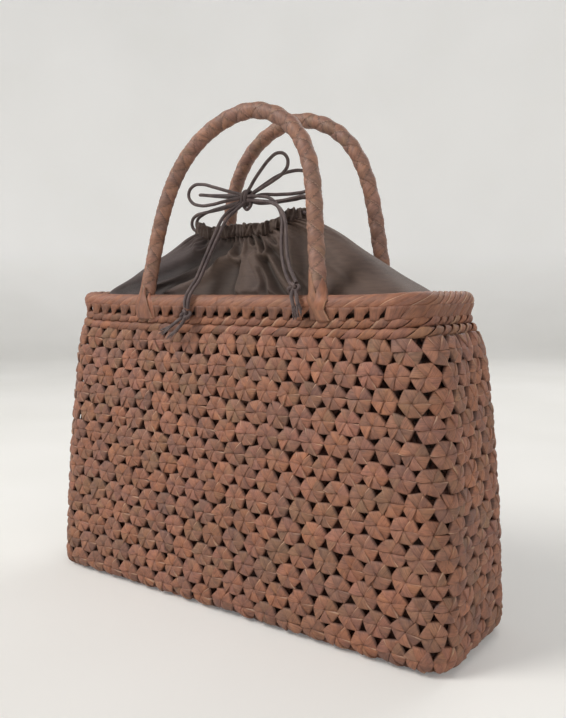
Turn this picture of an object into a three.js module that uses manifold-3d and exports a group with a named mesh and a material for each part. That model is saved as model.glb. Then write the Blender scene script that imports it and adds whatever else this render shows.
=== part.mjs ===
// Vine basket bag: a flower-weave basket with two braided handles and a drawstring pouch.
// Millimetres, +Z up. The front faces -Y. The origin is the middle of the base, on the
// surface that the bag stands on.
import * as THREE from 'three';
import Module from 'manifold-3d';
import { mergeVertices } from 'three/addons/utils/BufferGeometryUtils.js';

// Basket body, measured to the middle of the weave
const bodyHeight = 214;
const baseHalfLength = 162.6;
const topHalfLength = 146.8;
const baseHalfDepth = 47.9;
const topHalfDepth = 38.82;
const endBulge = 4.4;
const endRise = 2.6;
const baseCorner = 15;
const topCorner = 19;
const planSteps = 32;

// Weave
const courseCount = 12;
const weaveInside = 3.9;
const weaveOutside = 4.6;
const petalEdge = 2.2;
const petalShare = 0.28;
const turnHeight = 17;
const turnToe = 1.8;
const baseThickness = 7;
const baseInset = 9.2;

// Rim, twining and lashing. The rolled rim stands this far inside the wall's ends and outside its sides
const rimInset = 5.9;
const rimCorner = 17;
const rimSpread = 1.3;
const rimRadius = 6;
const wrapThickness = 2;
const wrapSlit = 14;
const rimCoreRadius = 3.2;
const lashingHeight = 2;
const lashingThickness = 4.4;
const twiningHeight = 6.1;
const twiningThickness = 6.6;
const twiningStandOut = 1.2;
const twiningShoulder = 0.25;
// How far past the rim's ends each twining reaches, as the wall widens below the rim
const upperTwiningSpread = 1;
const lowerTwiningSpread = 4;

// Handles
const footHalfSpan = 73;
const crownHalfWidth = 54.9;
const crownPower = 1.14;
const risePower = 0.382;
const braidRadius = 5.7;
const braidBore = 4;
const handleCoreRadius = 3;
const handleSteps = 34;
const braidSides = 10;
const coreSides = 6;
const braidLift = 0.7;
const frontHandle = { side: -1, centreX: 3, skew: 12, rise: 117.5, lean: 4.3 };
const rearHandle = { side: 1, centreX: 5.5, skew: 4, rise: 123, lean: 3.7 };

// Strips that fan out from a handle's foot over the rim
const footStripThickness = 1.6;
const footStripHalfWidth = 5.6;
const footStripFlare = 1.2;
const footStripBend = 0.3;
const footStripEnd = 0.6;
const footStripTurns = [36, 12, -12];

// Cloth pouch
const cloth = 1;
const liningGap = 0.4;
const seamDrop = 6;
const collarGapLength = 2.7;
const collarGapDepth = 1.2;
const casingRise = 39.8;
const casingHeight = 8.6;
const casingOverlap = 1.6;
const neckHalfLength = 46.6;
const neckHalfDepth = 13;
const neckCentreX = -8;
const neckPower = 2.3;
const channelWidth = 3.4;
const rightEndLift = 9.5;
const leftEndLift = 4;
const exitHalfWidth = 3;
const exitHeight = 4.2;
const exitDrop = 0.3;
const exitDepth = 3.2;

// Drawcords
const cordDiameter = 2.4;
const cordSides = 8;
const bowKnot = { x: -8.6, y: -3, z: 281, halfLength: 5, halfDepth: 4.6, halfHeight: 6 };
const tailKnotRadius = 3.6;

const clearance = 0.3;

// The rim's middle line, and the heights of the stack from the rim downwards
const rimHalfLength = topHalfLength - rimInset;
const rimHalfDepth = topHalfDepth + rimSpread;
const rimCentre = bodyHeight - rimRadius;
const lashingTop = bodyHeight - 2 * rimRadius - clearance;
const lashingBottom = bodyHeight - 2 * rimRadius - lashingHeight + clearance;
const upperTwiningTop = lashingBottom - clearance;
const lowerTwiningTop = upperTwiningTop - twiningHeight;
const coursesTop = lowerTwiningTop - twiningHeight;
const coursePitch = (coursesTop - turnHeight) / courseCount;
const seamHeight = coursesTop - seamDrop;
const casingBottom = bodyHeight + casingRise;
const casingTop = casingBottom + casingHeight;
const collarTop = casingBottom + casingOverlap;

const signedPower = (value, power) =>
  Math.abs(value) < 1e-9 ? 0 : Math.sign(value) * Math.abs(value) ** power;
const along = (start, end, height) => start + ((end - start) * height) / bodyHeight;
const bulge = (height) => (4 * endBulge * height * (bodyHeight - height)) / bodyHeight ** 2;

// One ring of a surface: its height and its plan outline, a rectangle with round corners
function wallRow(offset, height) {
  return {
    halfLength: along(baseHalfLength, topHalfLength, height) + bulge(height) + offset,
    halfDepth: along(baseHalfDepth, topHalfDepth, height) + offset,
    cornerRadius: along(baseCorner, topCorner, height) + offset,
    rise: endRise * (height / bodyHeight) ** 2,
    height,
  };
}

function rimRow(offset, height) {
  return {
    halfLength: rimHalfLength + offset,
    halfDepth: rimHalfDepth + offset,
    cornerRadius: rimCorner + offset,
    rise: endRise * (height / bodyHeight) ** 2,
    height,
  };
}

function neckRow(offset, height) {
  return {
    halfLength: neckHalfLength + offset,
    halfDepth: neckHalfDepth + offset,
    power: neckPower,
    centreX: neckCentreX,
    liftShare: 1,
    height,
  };
}

// How far the gathered neck is pulled up where the cords leave its two ends
function endLift(angle) {
  const across = Math.cos(angle);
  return across > 0 ? rightEndLift * across ** 1.6 : leftEndLift * (-across) ** 2;
}

// How far along the straight half of a long side the last points of a quarter outline lie
const sideShares = [0.72, 0.4, 0];
const cornerSteps = planSteps / 4 - sideShares.length - 1;

// A point of a quarter of the outline, from the middle of the end to the middle of the side
function quarterPoint({ halfLength, halfDepth, cornerRadius }, step) {
  if (step === 0) return [halfLength, 0];
  const straight = halfLength - cornerRadius;
  if (step > cornerSteps + 1) return [straight * sideShares[step - cornerSteps - 2], halfDepth];
  const angle = ((step - 1) / cornerSteps) * (Math.PI / 2);
  const depth = halfDepth - cornerRadius + cornerRadius * Math.sin(angle);
  return [straight + cornerRadius * Math.cos(angle), depth];
}

function planPoint(row, corner) {
  const step = ((corner % planSteps) + planSteps) % planSteps;
  const angle = (2 * Math.PI * step) / planSteps;
  if (row.cornerRadius) {
    const half = step % (planSteps / 2);
    const [x, y] = quarterPoint(row, Math.min(half, planSteps / 2 - half));
    const lift = (row.rise ?? 0) * (x / row.halfLength) ** 6;
    return [Math.sign(Math.cos(angle)) * x, Math.sign(Math.sin(angle)) * y, row.height + lift];
  }
  const x = signedPower(Math.cos(angle), 2 / row.power) * row.halfLength;
  const y = signedPower(Math.sin(angle), 2 / row.power) * row.halfDepth;
  return [x + (row.centreX ?? 0), y, row.height + (row.liftShare ?? 0) * endLift(angle)];
}

// Faces are turned outwards when the enclosed volume comes out negative
function closedGeometry(positions, triangles) {
  let volume = 0;
  const point = (index) => new THREE.Vector3(...positions[index]);
  for (const [a, b, c] of triangles) volume += point(a).dot(point(b).cross(point(c)));
  const faces = volume < 0 ? triangles.map(([a, b, c]) => [a, c, b]) : triangles;
  const geometry = new THREE.BufferGeometry();
  geometry.setAttribute('position', new THREE.Float32BufferAttribute(positions.flat(), 3));
  geometry.setIndex(faces.flat());
  geometry.computeVertexNormals();
  return geometry;
}

// A band round the bag: the rows are the corners of its cross-section, in order
function band(rows, firstCorner = 0, lastCorner = planSteps) {
  const whole = lastCorner - firstCorner === planSteps;
  const steps = lastCorner - firstCorner + (whole ? 0 : 1);
  const positions = [];
  for (let step = 0; step < steps; step += 1) {
    for (const row of rows) positions.push(planPoint(row, firstCorner + step));
  }
  const triangles = [];
  for (let step = 0; step < (whole ? steps : steps - 1); step += 1) {
    const here = step * rows.length;
    const next = ((step + 1) % steps) * rows.length;
    for (let k = 0; k < rows.length; k += 1) {
      const n = (k + 1) % rows.length;
      triangles.push([here + k, next + k, next + n], [here + k, next + n, here + n]);
    }
  }
  if (!whole) {
    const last = (steps - 1) * rows.length;
    for (let k = 1; k < rows.length - 1; k += 1) {
      triangles.push([0, k, k + 1], [last, last + k + 1, last + k]);
    }
  }
  return closedGeometry(positions, triangles);
}

// A flat panel that fills the plan outline between two heights
function panel(offset, bottom, top) {
  const rows = [wallRow(offset, bottom), wallRow(offset, top)];
  const positions = [];
  for (const row of rows) {
    for (let corner = 0; corner < planSteps; corner += 1) positions.push(planPoint(row, corner));
    positions.push([0, 0, row.height]);
  }
  const size = planSteps + 1;
  const triangles = [];
  for (let corner = 0; corner < planSteps; corner += 1) {
    const next = (corner + 1) % planSteps;
    triangles.push([corner, next, size + next], [corner, size + next, size + corner]);
    triangles.push([planSteps, next, corner]);
    triangles.push([size + planSteps, size + corner, size + next]);
  }
  return closedGeometry(positions, triangles);
}

// Cross-section of a round bar, as rows of a band
function roundRows(makeRow, offset, height, radius, sides) {
  return Array.from({ length: sides }, (_, side) => {
    const angle = (2 * Math.PI * side) / sides;
    return makeRow(offset + radius * Math.cos(angle), height + radius * Math.sin(angle));
  });
}

function polygonShape(radius, sides) {
  const corners = Array.from({ length: sides }, (_, side) => {
    const angle = (2 * Math.PI * side) / sides;
    return new THREE.Vector2(radius * Math.cos(angle), radius * Math.sin(angle));
  });
  return new THREE.Shape(corners);
}

// Base and wall

function flowerCourse(number) {
  const top = coursesTop - (number - 1) * coursePitch;
  const bottom = top - coursePitch + clearance;
  const puff = (top - bottom) * petalShare;
  return band([
    wallRow(-weaveInside, bottom),
    wallRow(petalEdge, bottom),
    wallRow(weaveOutside, bottom + puff),
    wallRow(weaveOutside, top - puff),
    wallRow(petalEdge, top),
    wallRow(-weaveInside, top),
  ]);
}

// The corners of the turn below its top edge: how far up each one lies, and how far out
const turnCorners = [
  { up: 0.74, out: weaveOutside },
  { up: 0.38, out: weaveOutside },
  { up: 0.1, out: turnToe },
];

// The last course turns under the wall and meets the base panel
function turningCourse() {
  const top = turnHeight - clearance;
  return band([
    wallRow(-weaveInside, top),
    wallRow(petalEdge, top),
    ...turnCorners.map(({ up, out }) => wallRow(out, turnHeight * up)),
    wallRow(-weaveInside, 0),
    wallRow(-baseInset, 0),
    wallRow(-baseInset, baseThickness),
    wallRow(-weaveInside, baseThickness),
  ]);
}

const baseWeave = () => panel(-baseInset - clearance, 0, baseThickness);

// Rim

function twining(top, spread) {
  const bottom = top - twiningHeight + clearance;
  const edge = twiningThickness * twiningShoulder;
  const half = twiningThickness / 2;
  const middle = (top + bottom) / 2;
  const row = (offset, height) => {
    const ring = rimRow(twiningStandOut + offset, height);
    return { ...ring, halfLength: ring.halfLength + spread };
  };
  return band([
    row(-half, bottom),
    row(edge, bottom),
    row(half, middle),
    row(edge, top),
    row(-half, top),
  ]);
}

function rimLashing() {
  const half = lashingThickness / 2;
  return band([
    rimRow(-half, lashingBottom),
    rimRow(half, lashingBottom),
    rimRow(half, lashingTop),
    rimRow(-half, lashingTop),
  ]);
}

const rimCore = () => band(roundRows(rimRow, 0, rimCentre, rimCoreRadius, coreSides));

// The wrap closes round the core and leaves a slit where its strips go down into the lashing
function rimWrap() {
  const arc = (radius, points, reverse) =>
    Array.from({ length: points }, (_, index) => {
      const share = index / (points - 1);
      const turn = reverse ? 1 - share : share;
      const angle = THREE.MathUtils.degToRad(-90 + wrapSlit + turn * (360 - 2 * wrapSlit));
      return rimRow(radius * Math.cos(angle), rimCentre + radius * Math.sin(angle));
    });
  return band([...arc(rimRadius, 9, false), ...arc(rimRadius - wrapThickness, 7, true)]);
}

// Handles

const handleFootDepth = rimHalfDepth;
const handlePivotHeight = bodyHeight + clearance;

class HandleArch extends THREE.Curve {
  constructor(handle) {
    super();
    this.handle = handle;
    this.arcLengthDivisions = 800;
  }

  getPoint(t, target = new THREE.Vector3()) {
    const { side, centreX, skew, rise, lean } = this.handle;
    const angle = Math.PI * (1 - t);
    const up = Math.abs(signedPower(Math.sin(angle), risePower));
    const across = signedPower(Math.cos(angle), crownPower) * crownHalfWidth;
    const splay = footHalfSpan / crownHalfWidth - 1;
    const slope = THREE.MathUtils.degToRad(lean);
    return target.set(
      centreX + across * (1 + splay * (1 - up)) + skew * up ** 2,
      side * (handleFootDepth - up * rise * Math.sin(slope)),
      handlePivotHeight + braidLift + up * rise * Math.cos(slope),
    );
  }
}

function handleBraid(handle) {
  const sleeve = polygonShape(braidRadius, braidSides);
  sleeve.holes.push(polygonShape(braidBore, coreSides));
  const extrudePath = new HandleArch(handle);
  return new THREE.ExtrudeGeometry(sleeve, { steps: handleSteps, bevelEnabled: false, extrudePath });
}

// The core reaches below the braid and stands on the rim
function handleCore(handle) {
  const arch = new HandleArch(handle);
  const left = arch.getPoint(0);
  const right = arch.getPoint(1);
  const drop = new THREE.Vector3(0, 0, braidLift);
  const extrudePath = new THREE.CurvePath();
  extrudePath.add(new THREE.LineCurve3(left.clone().sub(drop), left));
  extrudePath.add(arch);
  extrudePath.add(new THREE.LineCurve3(right, right.clone().sub(drop)));
  const rod = polygonShape(handleCoreRadius, coreSides);
  return new THREE.ExtrudeGeometry(rod, { steps: handleSteps, bevelEnabled: false, extrudePath });
}

// A flat strip that lies on the outside of the rim below a handle's foot
function footStrip(handle, end) {
  const x = handle.centreX + end * footHalfSpan;
  const rolled = rimRadius + clearance;
  const tucked = twiningStandOut + twiningThickness / 2 + clearance;
  const profile = [
    ...footStripTurns.map((degrees) => {
      const angle = THREE.MathUtils.degToRad(degrees);
      return [rolled * Math.cos(angle), rimCentre + rolled * Math.sin(angle)];
    }),
    [tucked + footStripBend, lashingTop],
    [tucked, upperTwiningTop - twiningHeight * footStripEnd],
  ];
  const positions = [];
  profile.forEach(([offset, height], index) => {
    const halfWidth = footStripHalfWidth + (footStripFlare * index) / (profile.length - 1);
    for (const [side, out] of [[-1, 0], [1, 0], [1, footStripThickness], [-1, footStripThickness]]) {
      positions.push([x + side * halfWidth, handle.side * (handleFootDepth + offset + out), height]);
    }
  });
  const triangles = [[0, 1, 2], [0, 2, 3]];
  for (let index = 0; index < profile.length - 1; index += 1) {
    for (let k = 0; k < 4; k += 1) {
      const here = index * 4 + k;
      const next = index * 4 + ((k + 1) % 4);
      triangles.push([here, here + 4, next + 4], [here, next + 4, next]);
    }
  }
  const last = (profile.length - 1) * 4;
  triangles.push([last, last + 2, last + 1], [last, last + 3, last + 2]);
  return closedGeometry(positions, triangles);
}

// Pouch

const liningOffset = -weaveInside - liningGap;

const liningBase = () =>
  panel(liningOffset, baseThickness + clearance, baseThickness + clearance + cloth);

function liningWalls() {
  const bottom = baseThickness + cloth + 2 * clearance;
  return band([
    wallRow(liningOffset, bottom),
    wallRow(liningOffset, seamHeight),
    wallRow(liningOffset - cloth, seamHeight),
    wallRow(liningOffset - cloth, bottom),
  ]);
}

// The collar's shoulder, from the rim up to the neck. Each row gives how far up it lies, and how
// much of the way from the neck's outline to the rim's is left in length, in depth and sideways.
const shoulder = [
  { up: 0, length: 0.95, depth: 0.92, aside: 0.12, power: 4.4, liftShare: 0 },
  { up: 0.3, length: 0.805, depth: 0.73, aside: 0.56, power: 3.4, liftShare: 0 },
  { up: 0.55, length: 0.62, depth: 0.5, aside: 0.5, power: 2.9, liftShare: 0.1 },
  { up: 0.73, length: 0.46, depth: 0.34, aside: 0.5, power: 2.6, liftShare: 0.4 },
  { up: 0.88, length: 0.23, depth: 0.19, aside: 0.75, power: 2.4, liftShare: 0.8 },
];

// The collar rises inside the rim and is drawn in to the neck
function pouchCollar() {
  const seam = wallRow(liningOffset, seamHeight + clearance);
  const throat = neckRow(-cloth - clearance, collarTop);
  const rimLength = rimHalfLength - rimRadius - collarGapLength;
  const rimDepth = rimHalfDepth - rimRadius - collarGapDepth;
  const inRim = (height, slack) => ({
    height,
    halfLength: rimLength + slack,
    halfDepth: rimDepth + slack * 0.4,
    cornerRadius: rimCorner - rimRadius,
  });
  const outside = [
    seam,
    inRim(coursesTop, rimRadius),
    inRim(rimCentre, 0),
    ...shoulder.map(({ up, length, depth, aside, power, liftShare }) => ({
      height: bodyHeight + up * (casingBottom - bodyHeight),
      halfLength: throat.halfLength + length * (rimLength - throat.halfLength),
      halfDepth: throat.halfDepth + depth * (rimDepth - throat.halfDepth),
      centreX: aside * neckCentreX,
      power,
      liftShare,
    })),
    { ...throat, height: casingBottom - cloth },
    throat,
  ];
  const inside = outside.slice(1, -1).reverse().map((outer) => ({
    ...outer,
    halfLength: outer.halfLength - cloth,
    halfDepth: outer.halfDepth - cloth,
    height: outer.height - cloth,
  }));
  const topEdge = neckRow(-2 * cloth - clearance, collarTop);
  const bottomEdge = wallRow(liningOffset - cloth, seamHeight + clearance);
  return band([...outside, topEdge, ...inside, bottomEdge]);
}

// The casing is a hem folded over the collar's top edge, open below, with a slit at each end
function casing(solid) {
  const inner = -cloth - channelWidth;
  const fold = [
    neckRow(0, casingBottom),
    neckRow(0, casingTop),
    neckRow(inner - cloth, casingTop),
    neckRow(inner - cloth, casingBottom),
    neckRow(inner, casingBottom),
    neckRow(inner, casingTop - cloth),
    neckRow(-cloth, casingTop - cloth),
    neckRow(-cloth, casingBottom),
  ];
  const slits = [
    { x: neckCentreX - neckHalfLength, z: leftCordHeight + leftEndLift },
    { x: neckCentreX + neckHalfLength, z: rightCordHeight + rightEndLift },
  ];
  let hem = solid(band(fold));
  for (const { x, z } of slits) {
    const cutter = new THREE.BoxGeometry(exitDepth, 2 * exitHalfWidth, exitHeight);
    cutter.translate(x, 0, z - exitDrop);
    hem = hem.subtract(solid(cutter));
  }
  return hem;
}

const leftCordHeight = collarTop + clearance + cordDiameter / 2;
const rightCordHeight = leftCordHeight + cordDiameter + clearance;

// Each cord runs round inside the casing and comes out at its own end of the neck
function casingCord(height, exitCorner) {
  const rows = roundRows(neckRow, -cloth - channelWidth / 2, height, cordDiameter / 2, coreSides);
  return band(rows, exitCorner + 1, exitCorner + planSteps - 1);
}

// Drawcords: each has two free ends, tied together in one bow and knotted in pairs

const leadLeft = [
  [[-53.2, -1.4, 260.8], [-57.2, -1.6, 260.6], [-61, -2, 263], [-61.4, -2.4, 268], [-57, -2.8, 271.8],
    [-50, -3, 273.2], [-39, -3.4, 274.2], [-27, -4, 275.6], [-13.7, -4.3, 279.1]],
  [[-53.2, 1.4, 260.8], [-57, 1.6, 260.8], [-60.2, 1.6, 263.6], [-59.6, 1.4, 269], [-54, 1.2, 272.6],
    [-45, 1, 275], [-34, 0.6, 276.8], [-24, 0, 278.2], [-13.8, -1.5, 279.9]],
];
const leadRight = [
  [[37.4, -1.4, 268.6], [40.8, -1.4, 268.2], [45, -1.6, 270.6], [45, -1.8, 275.8], [39.6, -2, 279],
    [31, -2, 278.6], [22, -2, 277.6], [12, -2.6, 277.4], [-3.6, -3.5, 278.6]],
  [[37.4, 1.4, 268.6], [40.8, 1.4, 268.4], [44.2, 1.6, 271.4], [43.2, 1.6, 276.2], [37.4, 1.4, 278.6],
    [29, 1.2, 278], [20, 0.8, 277.4], [10, 0.4, 277], [-3.8, -1.1, 278.1]],
];
const loopLeft = [
  [[-13.3, -5.1, 283.6], [-24, -6.2, 286.8], [-36, -7, 290.4], [-47, -7.4, 293.2], [-56, -7.4, 292.4],
    [-60.4, -7, 287.2], [-58, -6.8, 281.6], [-50, -6.6, 278.4], [-39, -6.8, 278.2], [-27, -7, 279.6],
    [-13.8, -5.8, 281.3]],
  [[-13.1, 0.2, 283.6], [-25, 3.6, 285], [-38, 6.4, 286], [-49, 8.2, 287], [-56.4, 7, 287.6],
    [-57.6, 2.8, 287.4], [-53, -0.4, 286.8], [-45, -1.2, 285.6], [-35, -1.4, 284.2], [-24, -1.6, 283],
    [-13.9, -2.2, 282.3]],
];
const loopRight = [
  [[-6.6, -3.5, 287.2], [-1.6, -4, 293], [5, -4.4, 299.6], [11.6, -4.6, 305.4], [19, -4.6, 309],
    [25.4, -4.4, 306.8], [27, -4.2, 300.8], [23, -4, 295.6], [14.6, -4, 291], [6, -4, 287.4],
    [-2.9, -3.7, 283.8]],
  [[-3.9, -0.9, 285.4], [4.6, 0.8, 290.4], [13.6, 1.6, 294.6], [24, 2, 297], [35, 2.2, 296.6],
    [43.4, 2.2, 292.8], [45, 2, 287.4], [40, 1.8, 283.6], [29, 1.4, 282], [16, 0.8, 282.2],
    [-3.3, -1.1, 282.1]],
];
const tailLeft = [
  [[-12.2, -5.9, 277.2], [-18, -8.4, 273.6], [-21.6, -12, 269.4], [-22.4, -16.4, 264], [-22.6, -21, 256.6],
    [-23, -26.6, 247.2], [-23.8, -33.4, 235], [-24.8, -40, 223.2], [-25.4, -45.4, 216.8], [-25.6, -48.9, 211],
    [-25.8, -49.2, 204.8]],
  [[-9.8, -7.3, 276.2], [-14.4, -9.6, 272], [-17.8, -12.6, 268], [-19, -16.4, 262.6], [-19.4, -21, 255.2],
    [-20, -26.6, 246], [-20.8, -33.4, 234], [-21.8, -40, 222.6], [-22.4, -45.4, 216.6], [-22.6, -48.9, 211],
    [-23.3, -49.1, 204.4]],
];
const tailRight = [
  [[-3.7, -6, 281.7], [6, -7.2, 281], [15.4, -8, 278.6], [23, -9.8, 272.4], [28.8, -13.4, 264.6],
    [32.6, -18.6, 255.6], [36.6, -24.6, 245.2], [43, -31.6, 233.8], [51.6, -38.4, 223.8], [56.8, -42, 220]],
  [[-4.4, -6.5, 279.3], [7.6, -10, 277.4], [18.6, -11.8, 275.4], [28, -14, 270.4], [34.4, -17.4, 262],
    [38.4, -22, 252.6], [43.4, -28, 241.6], [49.8, -34, 231.4], [56.4, -38.6, 224.4], [59.6, -40.8, 221.2]],
];
const tailKnotLeft = new THREE.Vector3(-25.4, -48.9, 200.6);
const tailKnotRight = new THREE.Vector3(59.8, -43.8, 217.9);
const tipLeft = [
  [[-26.2, -49.2, 199.8], [-31, -50.6, 196.4], [-38, -51, 192.2], [-46, -50.8, 188.6]],
  [[-25.2, -49.2, 200], [-26.6, -51, 195], [-31.6, -51.6, 190], [-38.6, -51, 185.6]],
];
const tipRight = [
  [[59.8, -44.4, 217.6], [61.4, -48.6, 213.6], [63.6, -49.8, 207.4], [65.4, -49.4, 201]],
  [[60.8, -43.8, 217.4], [64.6, -48, 213.6], [66.8, -49.6, 208.4], [68, -49.6, 203]],
];

function cordTube(points, steps) {
  const extrudePath = new THREE.CatmullRomCurve3(points.map((point) => new THREE.Vector3(...point)));
  const section = polygonShape(cordDiameter / 2, cordSides);
  return new THREE.ExtrudeGeometry(section, { steps, bevelEnabled: false, extrudePath });
}

function bowKnotSolid() {
  const knot = new THREE.SphereGeometry(1, 10, 7);
  knot.scale(bowKnot.halfLength, bowKnot.halfDepth, bowKnot.halfHeight);
  knot.translate(bowKnot.x, bowKnot.y, bowKnot.z);
  return knot;
}

// An overhand knot that ties a pair of tails, with the two short ends that hang out of it
function tailKnot(solid, centre, tips) {
  const knot = new THREE.SphereGeometry(tailKnotRadius, 8, 6);
  knot.translate(centre.x, centre.y, centre.z);
  return tips.reduce((whole, tip) => whole.add(solid(cordTube(tip, 2))), solid(knot));
}

// Materials, one to each finish
const finishes = {
  flower: { color: '#8f6852', roughness: 0.72 },
  twined: { color: '#9a6f58', roughness: 0.7 },
  wrapped: { color: '#9c6b50', roughness: 0.62 },
  core: { color: '#a5815f', roughness: 0.85 },
  braided: { color: '#96684f', roughness: 0.6 },
  cloth: { color: '#4a4038', roughness: 0.7 },
  cord: { color: '#4e4745', roughness: 0.65 },
};

const bag = new THREE.Group();

function addPart(name, finish, geometry) {
  const material = new THREE.MeshStandardMaterial({ ...finishes[finish], metalness: 0 });
  const mesh = new THREE.Mesh(geometry, material);
  mesh.name = name;
  bag.add(mesh);
}

const wasm = await Module();
wasm.setup();

function toSolid(geometry) {
  const bare = geometry.clone();
  bare.deleteAttribute('normal');
  bare.deleteAttribute('uv');
  const merged = mergeVertices(bare);
  const vertProperties = new Float32Array(merged.attributes.position.array);
  const triVerts = new Uint32Array(merged.index.array);
  return new wasm.Manifold(new wasm.Mesh({ numProp: 3, vertProperties, triVerts }));
}

function fromSolid(manifold) {
  const mesh = manifold.getMesh();
  const geometry = new THREE.BufferGeometry();
  geometry.setAttribute('position', new THREE.Float32BufferAttribute(mesh.vertProperties, 3));
  geometry.setIndex(Array.from(mesh.triVerts));
  geometry.computeVertexNormals();
  return geometry;
}

addPart('base_weave', 'flower', baseWeave());
addPart('turning_course', 'flower', turningCourse());
for (let number = 1; number <= courseCount; number += 1) {
  addPart(`flower_course_${String(number).padStart(2, '0')}`, 'flower', flowerCourse(number));
}
addPart('twining_lower', 'twined', twining(lowerTwiningTop, lowerTwiningSpread));
addPart('twining_upper', 'twined', twining(upperTwiningTop, upperTwiningSpread));
addPart('rim_lashing', 'twined', rimLashing());
addPart('rim_core', 'core', rimCore());
addPart('rim_wrap', 'wrapped', rimWrap());

for (const [place, handle] of [['front', frontHandle], ['rear', rearHandle]]) {
  addPart(`${place}_handle_core`, 'core', handleCore(handle));
  addPart(`${place}_handle_braid`, 'braided', handleBraid(handle));
  addPart(`${place}_left_foot_strip`, 'braided', footStrip(handle, -1));
  addPart(`${place}_right_foot_strip`, 'braided', footStrip(handle, 1));
}

addPart('lining_base', 'cloth', liningBase());
addPart('lining_walls', 'cloth', liningWalls());
addPart('pouch_collar', 'cloth', pouchCollar());
addPart('neck_casing', 'cloth', fromSolid(casing(toSolid)));

addPart('casing_cord_left', 'cord', casingCord(leftCordHeight, planSteps / 2));
addPart('casing_cord_right', 'cord', casingCord(rightCordHeight, 0));
addPart('bow_knot', 'cord', bowKnotSolid());
const stretches = {
  cord_lead_left: [leadLeft, 6],
  cord_lead_right: [leadRight, 6],
  bow_loop_left: [loopLeft, 7],
  bow_loop_right: [loopRight, 7],
  cord_tail_left: [tailLeft, 8],
  cord_tail_right: [tailRight, 7],
};
for (const [name, [routes, steps]] of Object.entries(stretches)) {
  routes.forEach((route, index) => addPart(`${name}_${index + 1}`, 'cord', cordTube(route, steps)));
}
addPart('tail_knot_left', 'cord', fromSolid(tailKnot(toSolid, tailKnotLeft, tipLeft)));
addPart('tail_knot_right', 'cord', fromSolid(tailKnot(toSolid, tailKnotRight, tipRight)));

export default bag;
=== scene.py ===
import math

import bpy
import numpy as np
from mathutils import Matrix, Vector


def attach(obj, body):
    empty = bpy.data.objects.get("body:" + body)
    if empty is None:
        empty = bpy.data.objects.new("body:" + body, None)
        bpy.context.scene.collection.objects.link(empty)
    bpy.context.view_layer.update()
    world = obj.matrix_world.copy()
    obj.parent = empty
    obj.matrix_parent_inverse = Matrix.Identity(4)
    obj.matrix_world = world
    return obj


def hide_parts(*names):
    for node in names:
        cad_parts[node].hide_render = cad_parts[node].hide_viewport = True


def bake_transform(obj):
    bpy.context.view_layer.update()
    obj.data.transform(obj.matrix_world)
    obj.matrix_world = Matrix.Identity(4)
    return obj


# Lengths in this script are millimetres. MM turns them into Blender's metres as meshes are made.
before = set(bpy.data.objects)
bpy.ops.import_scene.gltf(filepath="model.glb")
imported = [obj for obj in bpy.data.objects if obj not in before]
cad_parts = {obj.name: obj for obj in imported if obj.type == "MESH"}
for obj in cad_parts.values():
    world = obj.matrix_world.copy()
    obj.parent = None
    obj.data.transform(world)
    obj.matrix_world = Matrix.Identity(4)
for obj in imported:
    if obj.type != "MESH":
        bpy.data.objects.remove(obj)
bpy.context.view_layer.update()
MM = 0.001
rng = np.random.default_rng(41)

# Camera, at the photograph's viewing angle
PHOTO_HEIGHT = 718
FOCAL_PIXELS = 760
SENSOR = 36
CAMERA_PLACE = (327.97, -425.18, 215.07)
CAMERA_TURN = 35.917
CAMERA_PITCH = 4.967

# Basket, as in the part's source
BODY_HEIGHT = 214
BASE_HALF_LENGTH = 162.6
TOP_HALF_LENGTH = 146.8
BASE_HALF_DEPTH = 47.9
TOP_HALF_DEPTH = 38.82
END_BULGE = 4.4
END_RISE = 2.6
BASE_CORNER = 15
TOP_CORNER = 19
RIM_CORNER = 17
WEAVE_OUTSIDE = 4.6
RIM_INSET = 5.9
RIM_SPREAD = 1.3
RIM_RADIUS = 6
RIM_HALF_LENGTH = TOP_HALF_LENGTH - RIM_INSET
RIM_HALF_DEPTH = TOP_HALF_DEPTH + RIM_SPREAD
RIM_CENTRE = BODY_HEIGHT - RIM_RADIUS
COURSES_TOP = 187.8
TWINING_HEIGHT = 6.1
TWINING_OUT = 1.2
UPPER_TWINING_SPREAD = 1
LOWER_TWINING_SPREAD = 4
COURSE_COUNT = 12

# Flowers
FLOWER_PITCH = 16.4
ROW_PITCH = 14.3
FIRST_ROW = 181.5
FRONT_PHASE = 5.1
PETALS = 6
TURN_RADIUS = 5
BASE_ROWS = (-22, -7.4, 7.4, 22)

# Pouch
CLOTH = 1
LINING_OFFSET = -4.3
LINING_BOTTOM = 7.8
SEAM_HEIGHT = 181.8
CASING_BOTTOM = 253.8
CASING_TOP = 262.4
NECK_HALF_LENGTH = 47.2
NECK_HALF_DEPTH = 13
NECK_CENTRE = -10
NECK_POWER = 2.3
RIGHT_END_LIFT = 9.5
LEFT_END_LIFT = 4

# Handles
FOOT_HALF_SPAN = 73
CROWN_HALF_WIDTH = 54.9
CROWN_POWER = 1.14
RISE_POWER = 0.382
HANDLE_START = 215
HANDLES = {
    "front": {"side": -1, "centre": 3, "skew": 12, "rise": 117.5, "lean": 4.3},
    "rear": {"side": 1, "centre": 5.5, "skew": 4, "rise": 123, "lean": 3.7},
}

CORD_DIAMETER = 2.4


def make_camera():
    data = bpy.data.cameras.new("camera")
    data.lens = FOCAL_PIXELS * SENSOR / PHOTO_HEIGHT
    data.sensor_width = SENSOR
    data.clip_start = 0.01
    camera = bpy.data.objects.new("camera", data)
    bpy.context.scene.collection.objects.link(camera)
    camera.location = Vector(CAMERA_PLACE) * MM
    camera.rotation_euler = (math.radians(90 - CAMERA_PITCH), 0, math.radians(CAMERA_TURN))
    bpy.context.scene.camera = camera


make_camera()


# Colours and materials

def linear(colour):
    """sRGB from 0 to 255 as linear light."""
    share = np.asarray(colour, float) / 255
    return np.where(share <= 0.04045, share / 12.92, ((share + 0.055) / 1.055) ** 2.4)


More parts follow.
